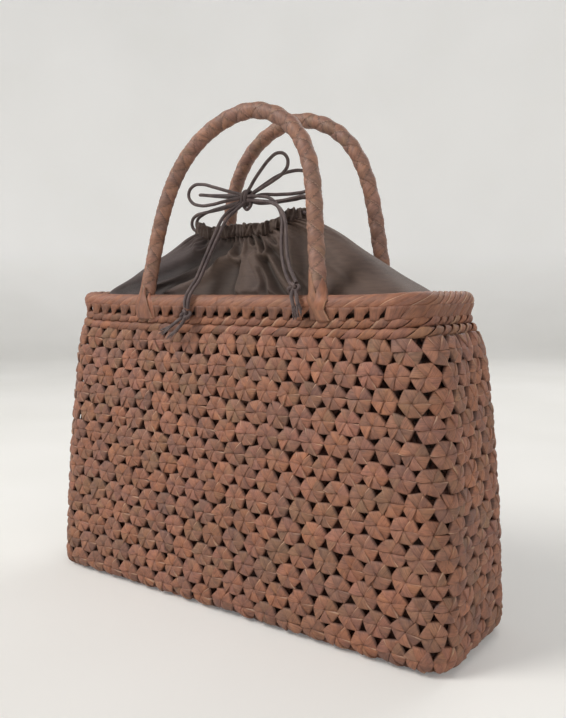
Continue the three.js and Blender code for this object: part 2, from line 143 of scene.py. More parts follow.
class Shader:
    """A short way to build a material's nodes."""

    def __init__(self, name):
        self.material = bpy.data.materials.new(name)
        self.material.use_nodes = True
        self.tree = self.material.node_tree

    def put(self, socket, value):
        if isinstance(value, bpy.types.NodeSocket):
            self.tree.links.new(value, socket)
        else:
            socket.default_value = value

    def node(self, kind, inputs=(), **settings):
        node = self.tree.nodes.new(f"ShaderNode{kind}")
        for key, value in settings.items():
            setattr(node, key, value)
        for key, value in dict(inputs).items():
            self.put(node.inputs[key], value)
        return node

    def math(self, operation, *values):
        return self.node("Math", enumerate(values), operation=operation).outputs[0]

    def ramp(self, factor, *stops):
        """Colours, or grey levels, from 0 to 255, each after its place."""
        node = self.node("ValToRGB", {"Fac": factor})
        elements = node.color_ramp.elements
        while len(elements) < len(stops):
            elements.new(0.5)
        for element, (place, colour) in zip(elements, stops):
            element.position = place
            element.color = (*linear(np.broadcast_to(colour, 3)), 1)
        return node.outputs["Color"]

    def noise(self, vector, scale, detail=3, roughness=0.55):
        """Noise along a vector. scale is one number, or one for each direction."""
        if isinstance(scale, tuple):
            vector, scale = self.node("Mapping", {"Vector": vector, "Scale": scale}).outputs["Vector"], 1
        values = {"Vector": vector, "Scale": scale, "Detail": detail, "Roughness": roughness}
        return self.node("TexNoise", values).outputs["Fac"]

    def bands(self, vector, direction, **inputs):
        return self.node("TexWave", {"Vector": vector, **inputs}, bands_direction=direction).outputs["Fac"]

    def attribute(self, name, output):
        return self.node("Attribute", attribute_name=name).outputs[output]

    def place(self):
        return self.node("TexCoord").outputs["Object"]

    def times(self, share, first, second):
        """The first colour multiplied by the second, as far as the share goes."""
        node = self.node("Mix", data_type="RGBA", blend_type="MULTIPLY")
        for socket, value in ((0, share), (6, first), (7, second)):
            self.put(node.inputs[socket], value)
        return node.outputs[2]

    def bump(self, height, distance, strength=1.0, under=None):
        inputs = {"Height": height, "Distance": distance, "Strength": strength}
        if under is not None:
            inputs["Normal"] = under
        return self.node("Bump", inputs).outputs["Normal"]

    def finish(self, **inputs):
        surface = self.tree.nodes["Principled BSDF"]
        for key, value in inputs.items():
            self.put(surface.inputs[key.replace("_", " ")], value)
        return self.material


def vine_material(name, roughness, shine, streak):
    """Split vine bark. Its colour comes with the mesh, its fibres run along the grain."""
    shader = Shader(name)
    grain = shader.attribute("grain", "Vector")
    fibres = shader.noise(grain, (0.12, 2.6, 9), 4, 0.65)
    blotches = shader.noise(grain, (0.16, 0.3, 5), 2)
    specks = shader.noise(grain, (0.7, 1.5, 3), 3, 0.7)
    tone = shader.ramp(fibres, (0.25, 255 - 92 * streak), (0.5, 236), (0.75, 255))
    patch = shader.ramp(blotches, (0.3, (196, 190, 196)), (0.5, (232, 226, 224)), (0.72, (255, 250, 238)))
    fleck = shader.ramp(specks, (0.27, (188, 172, 162)), (0.38, 255))
    colour = shader.attribute("tint", "Color")
    for share, layer in ((1.0, tone), (0.85, patch), (0.7, fleck)):
        colour = shader.times(share, colour, layer)
    rough = shader.math("MULTIPLY_ADD", fibres, 0.24, roughness - 0.12)
    normal = shader.bump(fibres, 0.00022, 0.8, shader.bump(blotches, 0.0005, 0.6))
    return shader.finish(Base_Color=colour, Roughness=rough, Normal=normal, Specular_IOR_Level=shine)


def core_material():
    shader = Shader("vine_core")
    fibres = shader.noise(shader.place(), (140, 900, 900), 4)
    colour = shader.ramp(fibres, (0.3, (128, 96, 68)), (0.7, (178, 144, 108)))
    return shader.finish(Base_Color=colour, Roughness=0.85, Normal=shader.bump(fibres, 0.0003))


def cloth_material():
    """Fine plain-woven cotton, with a soft sheen and faint slubs."""
    shader = Shader("pouch_cloth")
    grain = shader.attribute("grain", "Vector")
    threads = shader.math("ADD", *(shader.bands(grain, way, Scale=0.9, Distortion=0.6) for way in "XY"))
    slubs = shader.noise(grain, (0.08, 0.6, 1), 3)
    cloud = shader.noise(grain, (0.03, 0.03, 1), 2)
    colour = shader.ramp(slubs, (0.3, (74, 61, 55)), (0.7, (86, 71, 64)))
    colour = shader.times(0.7, colour, shader.ramp(cloud, (0.3, (214, 208, 210)), (0.7, (255, 250, 240))))
    colour = shader.times(1.0, colour, shader.attribute("tint", "Color"))
    normal = shader.bump(threads, 0.00006, 0.4, shader.bump(slubs, 0.0001, 0.25))
    return shader.finish(Base_Color=colour, Roughness=0.66, Normal=normal, Sheen_Weight=0.12,
                         Sheen_Roughness=0.4, Sheen_Tint=(0.8, 0.7, 0.62, 1), Specular_IOR_Level=0.3)


def cord_material():
    """Waxed cotton cord, with fine strands that wind round it."""
    shader = Shader("drawcord")
    place = shader.place()
    strands = shader.bands(place, "DIAGONAL", Scale=420, Distortion=1.5, Detail=1.5)
    colour = shader.ramp(shader.noise(place, 160), (0.3, (68, 54, 55)), (0.7, (106, 89, 86)))
    colour = shader.times(0.6, colour, shader.ramp(strands, (0.2, 176), (0.8, 255)))
    return shader.finish(Base_Color=colour, Roughness=0.5, Normal=shader.bump(strands, 0.00025, 0.7),
                         Sheen_Weight=0.15, Sheen_Tint=(0.85, 0.7, 0.68, 1), Specular_IOR_Level=0.4)


# Roughness, shine and how dark the fibres are
VINES = {
    "vine_flower": (0.6, 0.5, 1.0),
    "vine_twined": (0.64, 0.4, 1.0),
    "vine_wrap": (0.58, 0.45, 0.8),
    "vine_braid": (0.55, 0.5, 0.8),
}
MATERIALS = {name: vine_material(name, *look) for name, look in VINES.items()}
MATERIALS |= {"vine_core": core_material(), "pouch_cloth": cloth_material(), "drawcord": cord_material()}


# Meshes

class Piece:
    """Closed patches that become one mesh, with a tint and a grain at each point."""

    def __init__(self):
        self.points, self.tints, self.grains, self.faces = [], [], [], []
        self.count = 0

    def add(self, points, faces, tint, grain=None):
        points = np.asarray(points, float).reshape(-1, 3)
        way = 1 if enclosed_volume(points, faces) > 0 else -1
        self.faces += [face[:, ::way] + self.count for face in faces]
        self.points.append(points)
        self.tints.append(np.broadcast_to(np.asarray(tint, float).reshape(-1, 3), points.shape))
        self.grains.append(points if grain is None else np.asarray(grain, float).reshape(-1, 3))
        self.count += len(points)

    def add_slabs(self, top, bottom, tint, grain, shade=1.0, **wrap):
        """One closed slab between two grids of points, or many of them, numbered before the grid's rows.
        shade darkens the tint of the bottom."""
        rows, columns = top.shape[-3:-1]

        def paired(above, below):
            return np.concatenate([np.broadcast_to(v, top.shape).reshape(-1, rows * columns, 3)
                                   for v in (above, below)], 1)

        points = paired(top, bottom)
        faces = repeated(slab_faces(rows, columns, **wrap), len(points), points.shape[1])
        self.add(points, [faces], paired(tint, np.multiply(tint, shade)), paired(grain, grain))

    def build(self, name, finish, node, body="basket"):
        mesh = bpy.data.meshes.new(name)
        points, tints = np.concatenate(self.points) * MM, np.concatenate(self.tints)
        loops = np.concatenate([face.ravel() for face in self.faces])
        totals = np.concatenate([np.full(len(face), face.shape[1]) for face in self.faces])
        mesh.vertices.add(len(points))
        mesh.vertices.foreach_set("co", points.ravel())
        mesh.loops.add(len(loops))
        mesh.loops.foreach_set("vertex_index", loops)
        mesh.polygons.add(len(totals))
        mesh.polygons.foreach_set("loop_start", np.cumsum(totals) - totals)
        mesh.polygons.foreach_set("use_smooth", np.full(len(totals), True))
        tint = mesh.attributes.new("tint", "FLOAT_COLOR", "POINT")
        tint.data.foreach_set("color", np.column_stack([tints, np.ones(len(tints))]).ravel())
        grain = mesh.attributes.new("grain", "FLOAT_VECTOR", "POINT")
        grain.data.foreach_set("vector", np.concatenate(self.grains).ravel())
        mesh.update(calc_edges=True)
        return place_object(name, mesh, finish, body, [node])


def place_object(name, data, finish, body, nodes):
    data.materials.append(MATERIALS[finish])
    piece = bpy.data.objects.new(name, data)
    bpy.context.scene.collection.objects.link(piece)
    if body:
        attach(piece, body)
    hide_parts(*nodes)
    return piece


def enclosed_volume(points, faces):
    volume = 0.0
    for face in faces:
        first = points[face[:, 0]]
        for k in range(1, face.shape[1] - 1):
            volume += np.einsum("ij,ij->i", first, np.cross(points[face[:, k]], points[face[:, k + 1]])).sum()
    return volume


def grid_faces(rows, columns, wrap_rows=False, wrap_columns=False):
    """Quads of a grid of points, numbered row by row."""
    r = np.arange(rows if wrap_rows else rows - 1)[:, None]
    c = np.arange(columns if wrap_columns else columns - 1)[None, :]
    here = r * columns + c
    right = r * columns + (c + 1) % columns
    below = ((r + 1) % rows) * columns + c
    corner = ((r + 1) % rows) * columns + (c + 1) % columns
    return np.stack([here, right, corner, below], -1).reshape(-1, 4)


def slab_faces(rows, columns, wrap_rows=False, wrap_columns=False):
    """A closed slab: the top grid, then the bottom grid, joined along their open edges."""
    size = rows * columns
    top = grid_faces(rows, columns, wrap_rows, wrap_columns)
    sides = []
    if not wrap_columns:
        r = np.arange(rows if wrap_rows else rows - 1)
        for c, way in ((0, 1), (columns - 1, -1)):
            sides.append((r * columns + c, (r + 1) % rows * columns + c, way))
    if not wrap_rows:
        c = np.arange(columns if wrap_columns else columns - 1)
        for r, way in ((0, -1), (rows - 1, 1)):
            sides.append((r * columns + c, r * columns + (c + 1) % columns, way))
    joined = [np.stack([a, b, b + size, a + size], -1)[:, ::way] for a, b, way in sides]
    return np.concatenate([top, top[:, ::-1] + size] + joined)


def repeated(faces, copies, size):
    return (faces[None] + (np.arange(copies) * size)[:, None, None]).reshape(-1, faces.shape[1])


def stack(*parts):
    """Points from their coordinates, each brought to the same shape."""
    return np.stack(np.broadcast_arrays(*parts), -1)


def smoothstep(low, high, value):
    share = np.clip((value - low) / (high - low), 0, 1)
    return share * share * (3 - 2 * share)


# Outlines in plan

def along(start, end, height):
    return start + (end - start) * height / BODY_HEIGHT


def half_length_at(height):
    share = np.asarray(height) / BODY_HEIGHT
    straight = BASE_HALF_LENGTH + (TOP_HALF_LENGTH - BASE_HALF_LENGTH) * share
    return straight + 4 * END_BULGE * share * (1 - share) - 2 * smoothstep(176, 190, np.asarray(height))


def half_depth_at(height):
    return along(BASE_HALF_DEPTH, TOP_HALF_DEPTH, height)


def end_rise(x, half_length, height):
    """The rim and the courses near it stand a little higher at the bag's two ends."""
    return END_RISE * (np.asarray(height) / BODY_HEIGHT) ** 2 * np.minimum(np.abs(x) / half_length, 1.1) ** 6


class Outline:
    """A closed line in plan, walked from the middle of its front towards +X: a rectangle whose round
    corners have the given radius, or without one a superellipse of the given power."""

    def __init__(self, half_length, half_depth, corner=None, power=2.0, centre=0.0):
        self.half_length, self.half_depth, self.centre = half_length, half_depth, centre
        self.corner = corner
        if corner is None:
            turn = np.linspace(-math.pi / 2, 0, 1501)
            x, y = np.tan(np.arctan2(np.cos(turn), 1)) * half_length, np.sin(turn) * half_depth
            reach = ((x / half_length) ** power + np.abs(y / half_depth) ** power) ** (1 / power)
            x, y = x / reach, y / reach
            out_x = np.abs(x / half_length) ** (power - 1) / half_length
            out_y = -np.abs(y / half_depth) ** (power - 1) / half_depth
        else:
            arc = np.linspace(0, math.pi / 2, 400)
            front = np.linspace(0, half_length - corner, 400)[:-1]
            end = np.linspace(corner - half_depth, 0, 200)[1:]
            round_x = half_length - corner + corner * np.sin(arc)
            x = np.concatenate([front, round_x, np.full(199, half_length)])
            y = np.concatenate([np.full(399, -half_depth), corner - half_depth - corner * np.cos(arc), end])
            out_x = np.concatenate([np.zeros(399), np.sin(arc), np.ones(199)])
            out_y = np.concatenate([-np.ones(399), -np.cos(arc), np.zeros(199)])
        quarter = np.stack([x, y, out_x, out_y], -1)
        half = np.concatenate([quarter, (quarter * (1, -1, 1, -1))[-2::-1]])
        line = np.concatenate([half, (half * (-1, 1, -1, 1))[-2::-1]])
        self.x, self.y, out_x, out_y = line.T
        self.walk = np.concatenate([[0], np.cumsum(np.hypot(np.diff(self.x), np.diff(self.y)))])
        self.length = self.walk[-1]
        size = np.hypot(out_x, out_y)
        self.out_x, self.out_y = out_x / size, out_y / size

    def at(self, distance):
        """The place on the outline, and the way out from it, as x, y, out_x, out_y."""
        walked = np.mod(distance, self.length)
        lines = (self.x, self.y, self.out_x, self.out_y)
        x, y, out_x, out_y = (np.interp(walked, self.walk, line) for line in lines)
        size = np.hypot(out_x, out_y)
        return x + self.centre, y, out_x / size, out_y / size


def stretched(value, half, corner, new_half, new_corner):
    """A coordinate of one rounded rectangle, carried over to another of a different size."""
    straight = half - corner
    size = np.abs(value)
    flat = np.minimum(size, straight) * (new_half - new_corner) / straight
    return np.sign(value) * (flat + np.maximum(size - straight, 0) * new_corner / corner)


def wall_outline(height, offset=0.0):
    corner = along(BASE_CORNER, TOP_CORNER, height) + offset
    return Outline(float(half_length_at(height)) + offset, half_depth_at(height) + offset, corner)


wall_line = wall_outline(FIRST_ROW)
rim_line = Outline(RIM_HALF_LENGTH, RIM_HALF_DEPTH, RIM_CORNER)
COLUMNS = round(wall_line.length / FLOWER_PITCH)
PITCH = wall_line.length / COLUMNS


def wall(distance, height, out):
    """A point of the basket's wall, which turns under at the bottom."""
    x, y, out_x, out_y = wall_line.at(distance)
    turn_start = TURN_RADIUS + WEAVE_OUTSIDE
    below = np.maximum(turn_start - height, 0)
    turn = np.minimum(below / TURN_RADIUS, math.pi / 2)
    inward = TURN_RADIUS * (1 - np.cos(turn)) + np.maximum(below - TURN_RADIUS * math.pi / 2, 0)
    z = np.where(height < turn_start, turn_start - TURN_RADIUS * np.sin(turn), height)
    corner, half_length = along(BASE_CORNER, TOP_CORNER, z), half_length_at(z)
    x = stretched(x, wall_line.half_length, wall_line.corner, half_length, corner)
    y = stretched(y, wall_line.half_depth, wall_line.corner, half_depth_at(z), corner)
    sideways = out * np.cos(turn) - inward
    rise = end_rise(x, half_length, z)
    return stack(x + out_x * sideways, y + out_y * sideways, z + rise - out * np.sin(turn))


def floor_panel(x, y, out):
    """A point of the flat base, whose outside faces down."""
    return stack(x, y, WEAVE_OUTSIDE - out)


# Vine colours

BARKS = linear([
    (152, 110, 93),
    (174, 120, 102),
    (178, 118, 86),
    (154, 118, 90),
    (164, 114, 89),
    (138, 100, 87),
    (186, 128, 99),
])
LIGHT_EDGE = linear((222, 182, 152))
# The chance that a petal's upper edge shows pale wood, partly as a painted highlight, for the six petals in
# turn from the upper right
PALE_EDGE_AND_HIGHLIGHT_CHANCE = (0.55, 0.25, 0.1, 0.15, 0.45, 0.6)


def bark_colours(count, spread=0.1, even=0.0):
    """Random vine colours. even draws them towards the mean of all the barks."""
    first, second = (BARKS[rng.choice(len(BARKS), count)] for _ in range(2))
    share = rng.random((count, 1))
    bright = 1 + spread * rng.standard_normal((count, 1))
    mixed = (first * share + second * (1 - share)) * (1 - even) + BARKS.mean(axis=0) * even
    return mixed * np.clip(bright, 0.6, 1.45)


def lighten(tint, share):
    """Changes a strip's tint towards pale wood."""
    tint += (LIGHT_EDGE - tint) * share


# Flowers of the weave

PETAL_REACH = np.array([0.25, 1.9, 3.6, 5.2, 6.4, 7.1, 7.5, 7.7])
PETAL_ACROSS = np.array([-1, -0.86, -0.45, 0, 0.45, 0.84, 0.94, 1.0])
PETAL_TOP = 3.9
PETAL_THICKNESS = 2.0
PETAL_SWIRL = 5
PETAL_HALF_ANGLE = 31.3


def add_flowers(piece, places, surface):
    """Flowers of six folded petals, each a wedge whose straight end faces one of the weave's holes.
    places holds each centre, surface lays them on the basket."""
    count = len(places)
    petals = count * PETALS

    def uneven(size):
        return size * rng.standard_normal(petals)[:, None, None]

    reach, across = PETAL_REACH[None, :, None], PETAL_ACROSS[None, None, :]
    size = np.repeat(1 + 0.02 * rng.standard_normal(count), PETALS)[:, None, None]
    twist = np.repeat(2.5 * rng.standard_normal(count), PETALS)[:, None, None] + uneven(2)
    middle = np.tile(30 + np.arange(PETALS) * 60.0, count)[:, None, None]
    turn = np.radians(middle + twist) - np.radians(PETAL_SWIRL) * (reach / 8 - 0.6)
    side = across * reach * math.tan(math.radians(PETAL_HALF_ANGLE))
    length = 1 + uneven(0.035)
    skew = uneven(0.06) - 0.02
    along_petal = reach * length * (1 + skew * across * smoothstep(4, 7.5, reach))
    p = (along_petal * np.cos(turn) - side * np.sin(turn)) * size
    q = (along_petal * np.sin(turn) + side * np.cos(turn)) * size
    sunk = 0.7 * smoothstep(3.0, 0.2, reach) + 0.55 * smoothstep(4.0, 7.1, reach)
    sunk = sunk + 0.5 * smoothstep(7.0, 7.7, reach)
    lap = (0.42 + uneven(0.22)) * smoothstep(0.3, 5.0, reach)
    crown = (0.25 + 0.3 * smoothstep(3.5, 7.5, reach)) * np.abs(across) ** 2.5
    tilt = uneven(0.17) + uneven(0.05) * reach
    out = PETAL_TOP - sunk - crown + lap * across + np.clip(tilt, -0.5, 0.4)
    u, w = (np.repeat(places[:, k], PETALS)[:, None, None] + offset for k, offset in enumerate((p, q)))
    rows, columns = len(PETAL_REACH), len(PETAL_ACROSS)
    top, bottom = (surface(u, w, level).reshape(petals, -1, 3) for level in (out, out - PETAL_THICKNESS))
    edge = np.concatenate([
        np.arange(columns),
        np.arange(1, rows) * columns + columns - 1,
        np.arange(columns - 2, -1, -1) + (rows - 1) * columns,
        np.arange(rows - 2, 0, -1) * columns,
    ])
    points = np.concatenate([top, bottom[:, edge]], 1)
    under = rows * columns + np.arange(len(edge))
    sides = np.stack([under, np.roll(under, -1), np.roll(edge, -1), edge], -1)
    parts = (grid_faces(rows, columns), sides, under[None])
    faces = [repeated(part, petals, points.shape[1]) for part in parts]

    own, shared = bark_colours(petals, 0.09), np.repeat(bark_colours(count, 0.07), PETALS, axis=0)
    tint = (0.55 * own + 0.45 * shared)[:, None, None] * np.ones((1, rows, columns, 1))
    # Pale wood on some petals' upper edges, partly a painted highlight
    light = (rng.random(petals) < np.tile(PALE_EDGE_AND_HIGHLIGHT_CHANCE, count)) * rng.uniform(0.35, 1.0, petals)
    pale_edge_and_highlight = light[:, None, None] * smoothstep(0.82, 0.95, across) * smoothstep(2.2, 5.0, reach)
    lighten(tint, pale_edge_and_highlight[..., None])
    # Painted shade: the petals are darker in the crease along their tucked edge, along their raised edge, at
    # their tips by the holes and at the flower's middle; their sides and bottoms are painted darker still
    shade = 1 - 0.42 * smoothstep(-0.86, -1.0, across) - 0.3 * smoothstep(7.3, 7.7, reach) \
        - 0.2 * smoothstep(1.6, 0.2, reach) - 0.1 * smoothstep(0.94, 1.0, across)
    tint = (tint * shade[..., None]).reshape(petals, -1, 3)
    tint = np.concatenate([tint, tint[:, edge] * (0.4, 0.3, 0.25)], 1)
    seed = rng.uniform(0, 40, petals)[:, None, None]
    grain = stack(0.87 * reach + 0.5 * side, 0.87 * side - 0.5 * reach, seed).reshape(petals, -1, 3)
    piece.add(points, faces, tint, np.concatenate([grain, grain[:, edge]], 1))


UNDER_OUT = -2.4
UNDER_HALF_WIDTH = 3.5
UNDER_THICKNESS = 0.9
UNDER_TURNS = (0, 60, 120)


def add_under_strips(piece, places, surface):
    """The inside of the weave: strips that run from each flower to its neighbours."""
    stations = np.linspace(-1, PITCH + 1, 6)[None, :, None]
    across = np.array([-1, -0.4, 0.4, 1])[None, None, :]
    copies = len(places) * len(UNDER_TURNS)
    turn = np.radians(np.tile(UNDER_TURNS, len(places)))[:, None, None]
    centre = np.repeat(places, len(UNDER_TURNS), axis=0)
    side = across * UNDER_HALF_WIDTH
    u = centre[:, 0, None, None] + stations * np.cos(turn) - side * np.sin(turn)
    w = centre[:, 1, None, None] + stations * np.sin(turn) + side * np.cos(turn)
    lift = 0.5 * np.cos(math.pi * stations / PITCH) * np.where(np.abs(turn) < 0.1, -1, 1)
    out = UNDER_OUT + lift - 0.3 * across ** 2
    # Painted shade: the strips deep under the petals are painted much darker than their bark
    tint = bark_colours(copies, 0.1)[:, None, None] * (0.3, 0.2, 0.15)
    seed = rng.uniform(0, 40, copies)[:, None, None]
    piece.add_slabs(surface(u, w, out), surface(u, w, out - UNDER_THICKNESS), tint, stack(stations, side, seed))


def row_places(row):
    """Centres of the flowers of one row, as distance round the wall and height."""
    shift = FRONT_PHASE + (PITCH / 2 if row % 2 == 0 else 0)
    distance = shift + PITCH * np.arange(COLUMNS)
    height = np.full(COLUMNS, FIRST_ROW - ROW_PITCH * (row - 1))
    places = np.stack([distance, height], -1)
    return places + rng.normal(0, 0.28, places.shape)


def make_courses():
    for row in range(1, COURSE_COUNT + 2):
        places = row_places(row)
        piece = Piece()
        add_flowers(piece, places, wall)
        add_under_strips(piece, places, wall)
        name = f"flower_course_{row:02d}" if row <= COURSE_COUNT else "turning_course"
        piece.build(f"{name}_woven", "vine_flower", name)


def make_base():
    piece = Piece()
    ring = row_places(COURSE_COUNT + 2)
    add_flowers(piece, ring, wall)
    half = BASE_HALF_LENGTH - TURN_RADIUS - ROW_PITCH - PITCH
    for number, y in enumerate(BASE_ROWS):
        shift = PITCH / 2 * (number % 2)
        x = np.arange(-half + shift, half + 1, PITCH * 1.08)
        places = np.stack([x, np.full(len(x), y)], -1) + rng.normal(0, 0.25, (len(x), 2))
        add_flowers(piece, places, floor_panel)
        add_under_strips(piece, places, floor_panel)
    piece.build("base_weave_woven", "vine_flower", "base_weave")


# Ribbons wound round a line

def add_ribbon(piece, centre, first, second, turn, half_turn, radius, thickness, tint, across,
               grain_start=0.0, closed=False):
    """A flat strip wound round a line. first and second are the line's two cross directions."""
    angle = turn[:, None] + half_turn * across
    ring = np.cos(angle)[..., None] * first[:, None] + np.sin(angle)[..., None] * second[:, None]
    top = centre[:, None] + ring * radius[..., None]
    bottom = centre[:, None] + ring * (radius - thickness)[..., None]
    steps = np.linalg.norm(np.diff(top[:, len(across) // 2], axis=0), axis=1)
    walked = grain_start + np.concatenate([[0], np.cumsum(steps)])
    grain = stack(walked[:, None], half_turn * across * radius, grain_start)
    piece.add_slabs(top, bottom, tint, grain, 0.7, wrap_rows=closed)


def rim_frames(steps, out, height, spread=0.0):
    """A closed line round the rim, with its outward and upward directions. spread makes it longer."""
    outline = Outline(RIM_HALF_LENGTH + spread, RIM_HALF_DEPTH, RIM_CORNER)
    distance = np.arange(steps) * outline.length / steps
    x, y, out_x, out_y = outline.at(distance)
    outward = stack(out_x, out_y, 0.0)
    centre = stack(x, y, height + end_rise(x, RIM_HALF_LENGTH, height)) + outward * out
    return distance, centre, outward, np.tile([0.0, 0.0, 1.0], (steps, 1))


RIBBON_ACROSS = np.array([-1, -0.86, -0.5, 0, 0.5, 0.86, 1])


def stitch_tints(distance, pitch, phase, columns, edge_share):
    """A colour for each stitch that a strand shows, changed where the strand dips out of sight."""
    stitches = int(round(rim_line.length / pitch)) + 2
    colours = bark_colours(stitches, 0.1, 0.35)
    number = np.floor((distance + phase) / pitch).astype(int) % stitches
    tint = np.repeat(colours[number][:, None], columns, 1)
    lighten(tint[:, -2:], (rng.random(stitches) < 0.3)[number][:, None, None] * edge_share)
    # Painted shade along one edge of each strand
    tint[:, 0] *= 0.6
    return tint


TWINING_TURNS = 35


def make_twining(name, top, spread):
    """Two strands twisted round each other between the wall's stakes."""
    steps = TWINING_TURNS * 24
    distance, centre, out, up = rim_frames(steps, TWINING_OUT, top - TWINING_HEIGHT / 2, spread)
    lay = distance[1] * steps / TWINING_TURNS
    piece = Piece()
    wobble = np.cumsum(rng.normal(0, 1, steps))
    wobble = wobble - np.linspace(wobble[0], wobble[-1], steps)
    wobble = wobble / np.abs(wobble).max()
    phase_noise = np.interp(np.arange(steps), np.linspace(0, steps, TWINING_TURNS + 1),
                            np.append(rng.normal(0, 0.22, TWINING_TURNS), 0))
    for strand in range(2):
        turn = 2 * math.pi * distance / lay + math.pi * strand + phase_noise
        phase = lay / 2 * strand
        rounded = 0.35 * (1 - RIBBON_ACROSS ** 2) + 0.42 * RIBBON_ACROSS
        radius = 2.6 + (0.15 * np.cos(turn) + 0.08 * wobble)[:, None] + rounded
        tint = stitch_tints(distance, lay, lay * 0.75 + phase, len(RIBBON_ACROSS), 0.6)
        add_ribbon(piece, centre, out, up * 1.12, turn, math.radians(84), radius, 1.3, tint, RIBBON_ACROSS,
                   grain_start=11.0 * strand, closed=True)
    return piece.build(f"{name}_strands", "vine_twined", name)


WRAP_STRIPS = 8
WRAP_TURNS = 11
WRAP_ACROSS = np.array([-1, -0.8, -0.4, 0, 0.4, 0.8, 0.95, 1.04])


def make_rim_wrap():
    """Eight strips wound side by side round the rolled rim, smooth in front and ridged at the ends."""
    steps = WRAP_TURNS * 40
    distance, centre, out, up = rim_frames(steps, 0, RIM_CENTRE)
    share = distance / rim_line.length
    from_front = np.abs(np.mod(share + 0.5 + 0.03, 1) - 0.5)
    ridge = 0.22 + 0.55 * smoothstep(0.08, 0.17, from_front)
    half_turn = math.pi / WRAP_STRIPS * 1.04
    piece = Piece()
    for strip in range(WRAP_STRIPS):
        turn = 2 * math.pi * (WRAP_TURNS * share + strip / WRAP_STRIPS)
        lap = (0.5 * WRAP_ACROSS - 0.5) * ridge[:, None]
        radius = RIM_RADIUS - 0.2 + lap + 0.25 * (1 - WRAP_ACROSS ** 2)
        colours = bark_colours(2 * WRAP_TURNS + 1, 0.05, 0.6)
        place = np.mod(WRAP_TURNS * share * 2 + strip / 4, 2 * WRAP_TURNS)
        index = place.astype(int)
        passed = smoothstep(0.3, 0.7, place - index)[:, None]
        colour = colours[index] * (1 - passed) + colours[(index + 1) % (2 * WRAP_TURNS)] * passed
        tint = np.repeat(colour[:, None] * (1.02, 1.0, 1.0), len(WRAP_ACROSS), 1)
        lighten(tint[:, -2:], (np.clip(np.sin(distance / 9 + 5 * strip) + 0.1, 0, 1) * ridge)[:, None, None])
        # Painted shade: one edge of each strip is darker, and the underside of the roll is painted much darker
        tint[:, 0] *= 0.72
        underneath = np.sin(turn[:, None] + half_turn * WRAP_ACROSS)
        tint *= (1 - 0.75 * smoothstep(-0.35, -0.6, underneath))[..., None]
        add_ribbon(piece, centre, out, up, turn, half_turn, radius, 1.4, tint, WRAP_ACROSS,
                   grain_start=7.0 * strip, closed=True)
    return piece.build("rim_wrap_strips", "vine_wrap", "rim_wrap")


LASH_PITCH = 10.3
LASH_THICKNESS = 1
# A lashing strip from top to bottom: how far out from the rim's line, and its height
LASH_PROFILE = np.array([(5.9, 206.4), (5.5, 204.6), (5.0, 203.2), (4.6, 201.8), (4.4, 200.4), (4.2, 198.6)])


def make_lashing():
    """Strips that hold the rolled rim to the twining, with a narrow triangle left open between them."""
    count = round(rim_line.length / LASH_PITCH)
    pitch = rim_line.length / count
    share = np.linspace(0, 1, len(LASH_PROFILE))[None, :, None]
    across = np.linspace(0, 1, 4)[None, None, :]
    start = (np.arange(count) * pitch + rng.normal(0, 0.35, count))[:, None, None]
    # The strips lie close together, and aslant, at the bag's right end
    parted = smoothstep(44, 54, np.abs(start - rim_line.length / 4))
    open_share = np.clip((share - 0.05) / 0.65, 0, 1) * parted
    width = pitch * (1.03 - (0.52 + 0.1 * rng.standard_normal(count)[:, None, None]) * open_share)
    distance = start + across * width - 0.5 * share - 4 * (1 - parted) * share
    out, height = (LASH_PROFILE[:, k][None, :, None] for k in range(2))
    out = out - 0.35 * (2 * across - 1) ** 2
    x, y, out_x, out_y = rim_line.at(distance)
    level = height + end_rise(x, RIM_HALF_LENGTH, height)
    top, bottom = (stack(x + out_x * away, y + out_y * away, level) for away in (out, out - LASH_THICKNESS))
    tint = bark_colours(count, 0.05, 0.6)[:, None, None] * 0.94
    seed = rng.uniform(0, 40, count)[:, None, None]
    piece = Piece()
    piece.add_slabs(top, bottom, tint, stack(share * 9, across * width, seed))
    return piece.build("rim_lashing_strips", "vine_twined", "rim_lashing")


# Handles

BRAID_LAY = 27.5
BRAID_ACROSS = np.array([-1, -0.9, -0.6, -0.2, 0.2, 0.6, 0.9, 1])


def signed_power(value, power):
    return np.sign(value) * np.abs(value) ** power


def handle_line(handle, spacing=0.9):
    """The arch's middle line, evenly spaced, with the two directions across it."""
    angle = math.pi * (1 - np.linspace(0, 1, 4001))
    up = np.abs(np.sin(angle)) ** RISE_POWER
    up[[0, -1]] = 0
    across = signed_power(np.cos(angle), CROWN_POWER) * CROWN_HALF_WIDTH
    splay = FOOT_HALF_SPAN / CROWN_HALF_WIDTH - 1
    slope = math.radians(handle["lean"])
    side = handle["side"]
    line = stack(handle["centre"] + across * (1 + splay * (1 - up)) + handle["skew"] * up ** 2,
                 side * (RIM_HALF_DEPTH - up * handle["rise"] * math.sin(slope)),
                 HANDLE_START + up * handle["rise"] * math.cos(slope))
    reach = 2.5
    for end, inner in ((0, 40), (-1, -41)):
        way = line[end] - line[inner]
        tail = line[end] + way / np.linalg.norm(way) * reach
        line = np.concatenate([[tail], line]) if end == 0 else np.concatenate([line, [tail]])
    walked = np.concatenate([[0], np.cumsum(np.linalg.norm(np.diff(line, axis=0), axis=1))])
    even = np.linspace(0, walked[-1], int(walked[-1] / spacing))
    centre = np.stack([np.interp(even, walked, line[:, k]) for k in range(3)], -1)
    tangent = np.gradient(centre, axis=0)
    tangent /= np.linalg.norm(tangent, axis=1)[:, None]
    face = np.array([0, side * math.cos(slope), math.sin(slope)])
    first = np.tile(face, (len(centre), 1))
    first -= tangent * np.einsum("ij,ij->i", first, tangent)[:, None]
    first /= np.linalg.norm(first, axis=1)[:, None]
    return even, centre, first, np.cross(tangent, first)


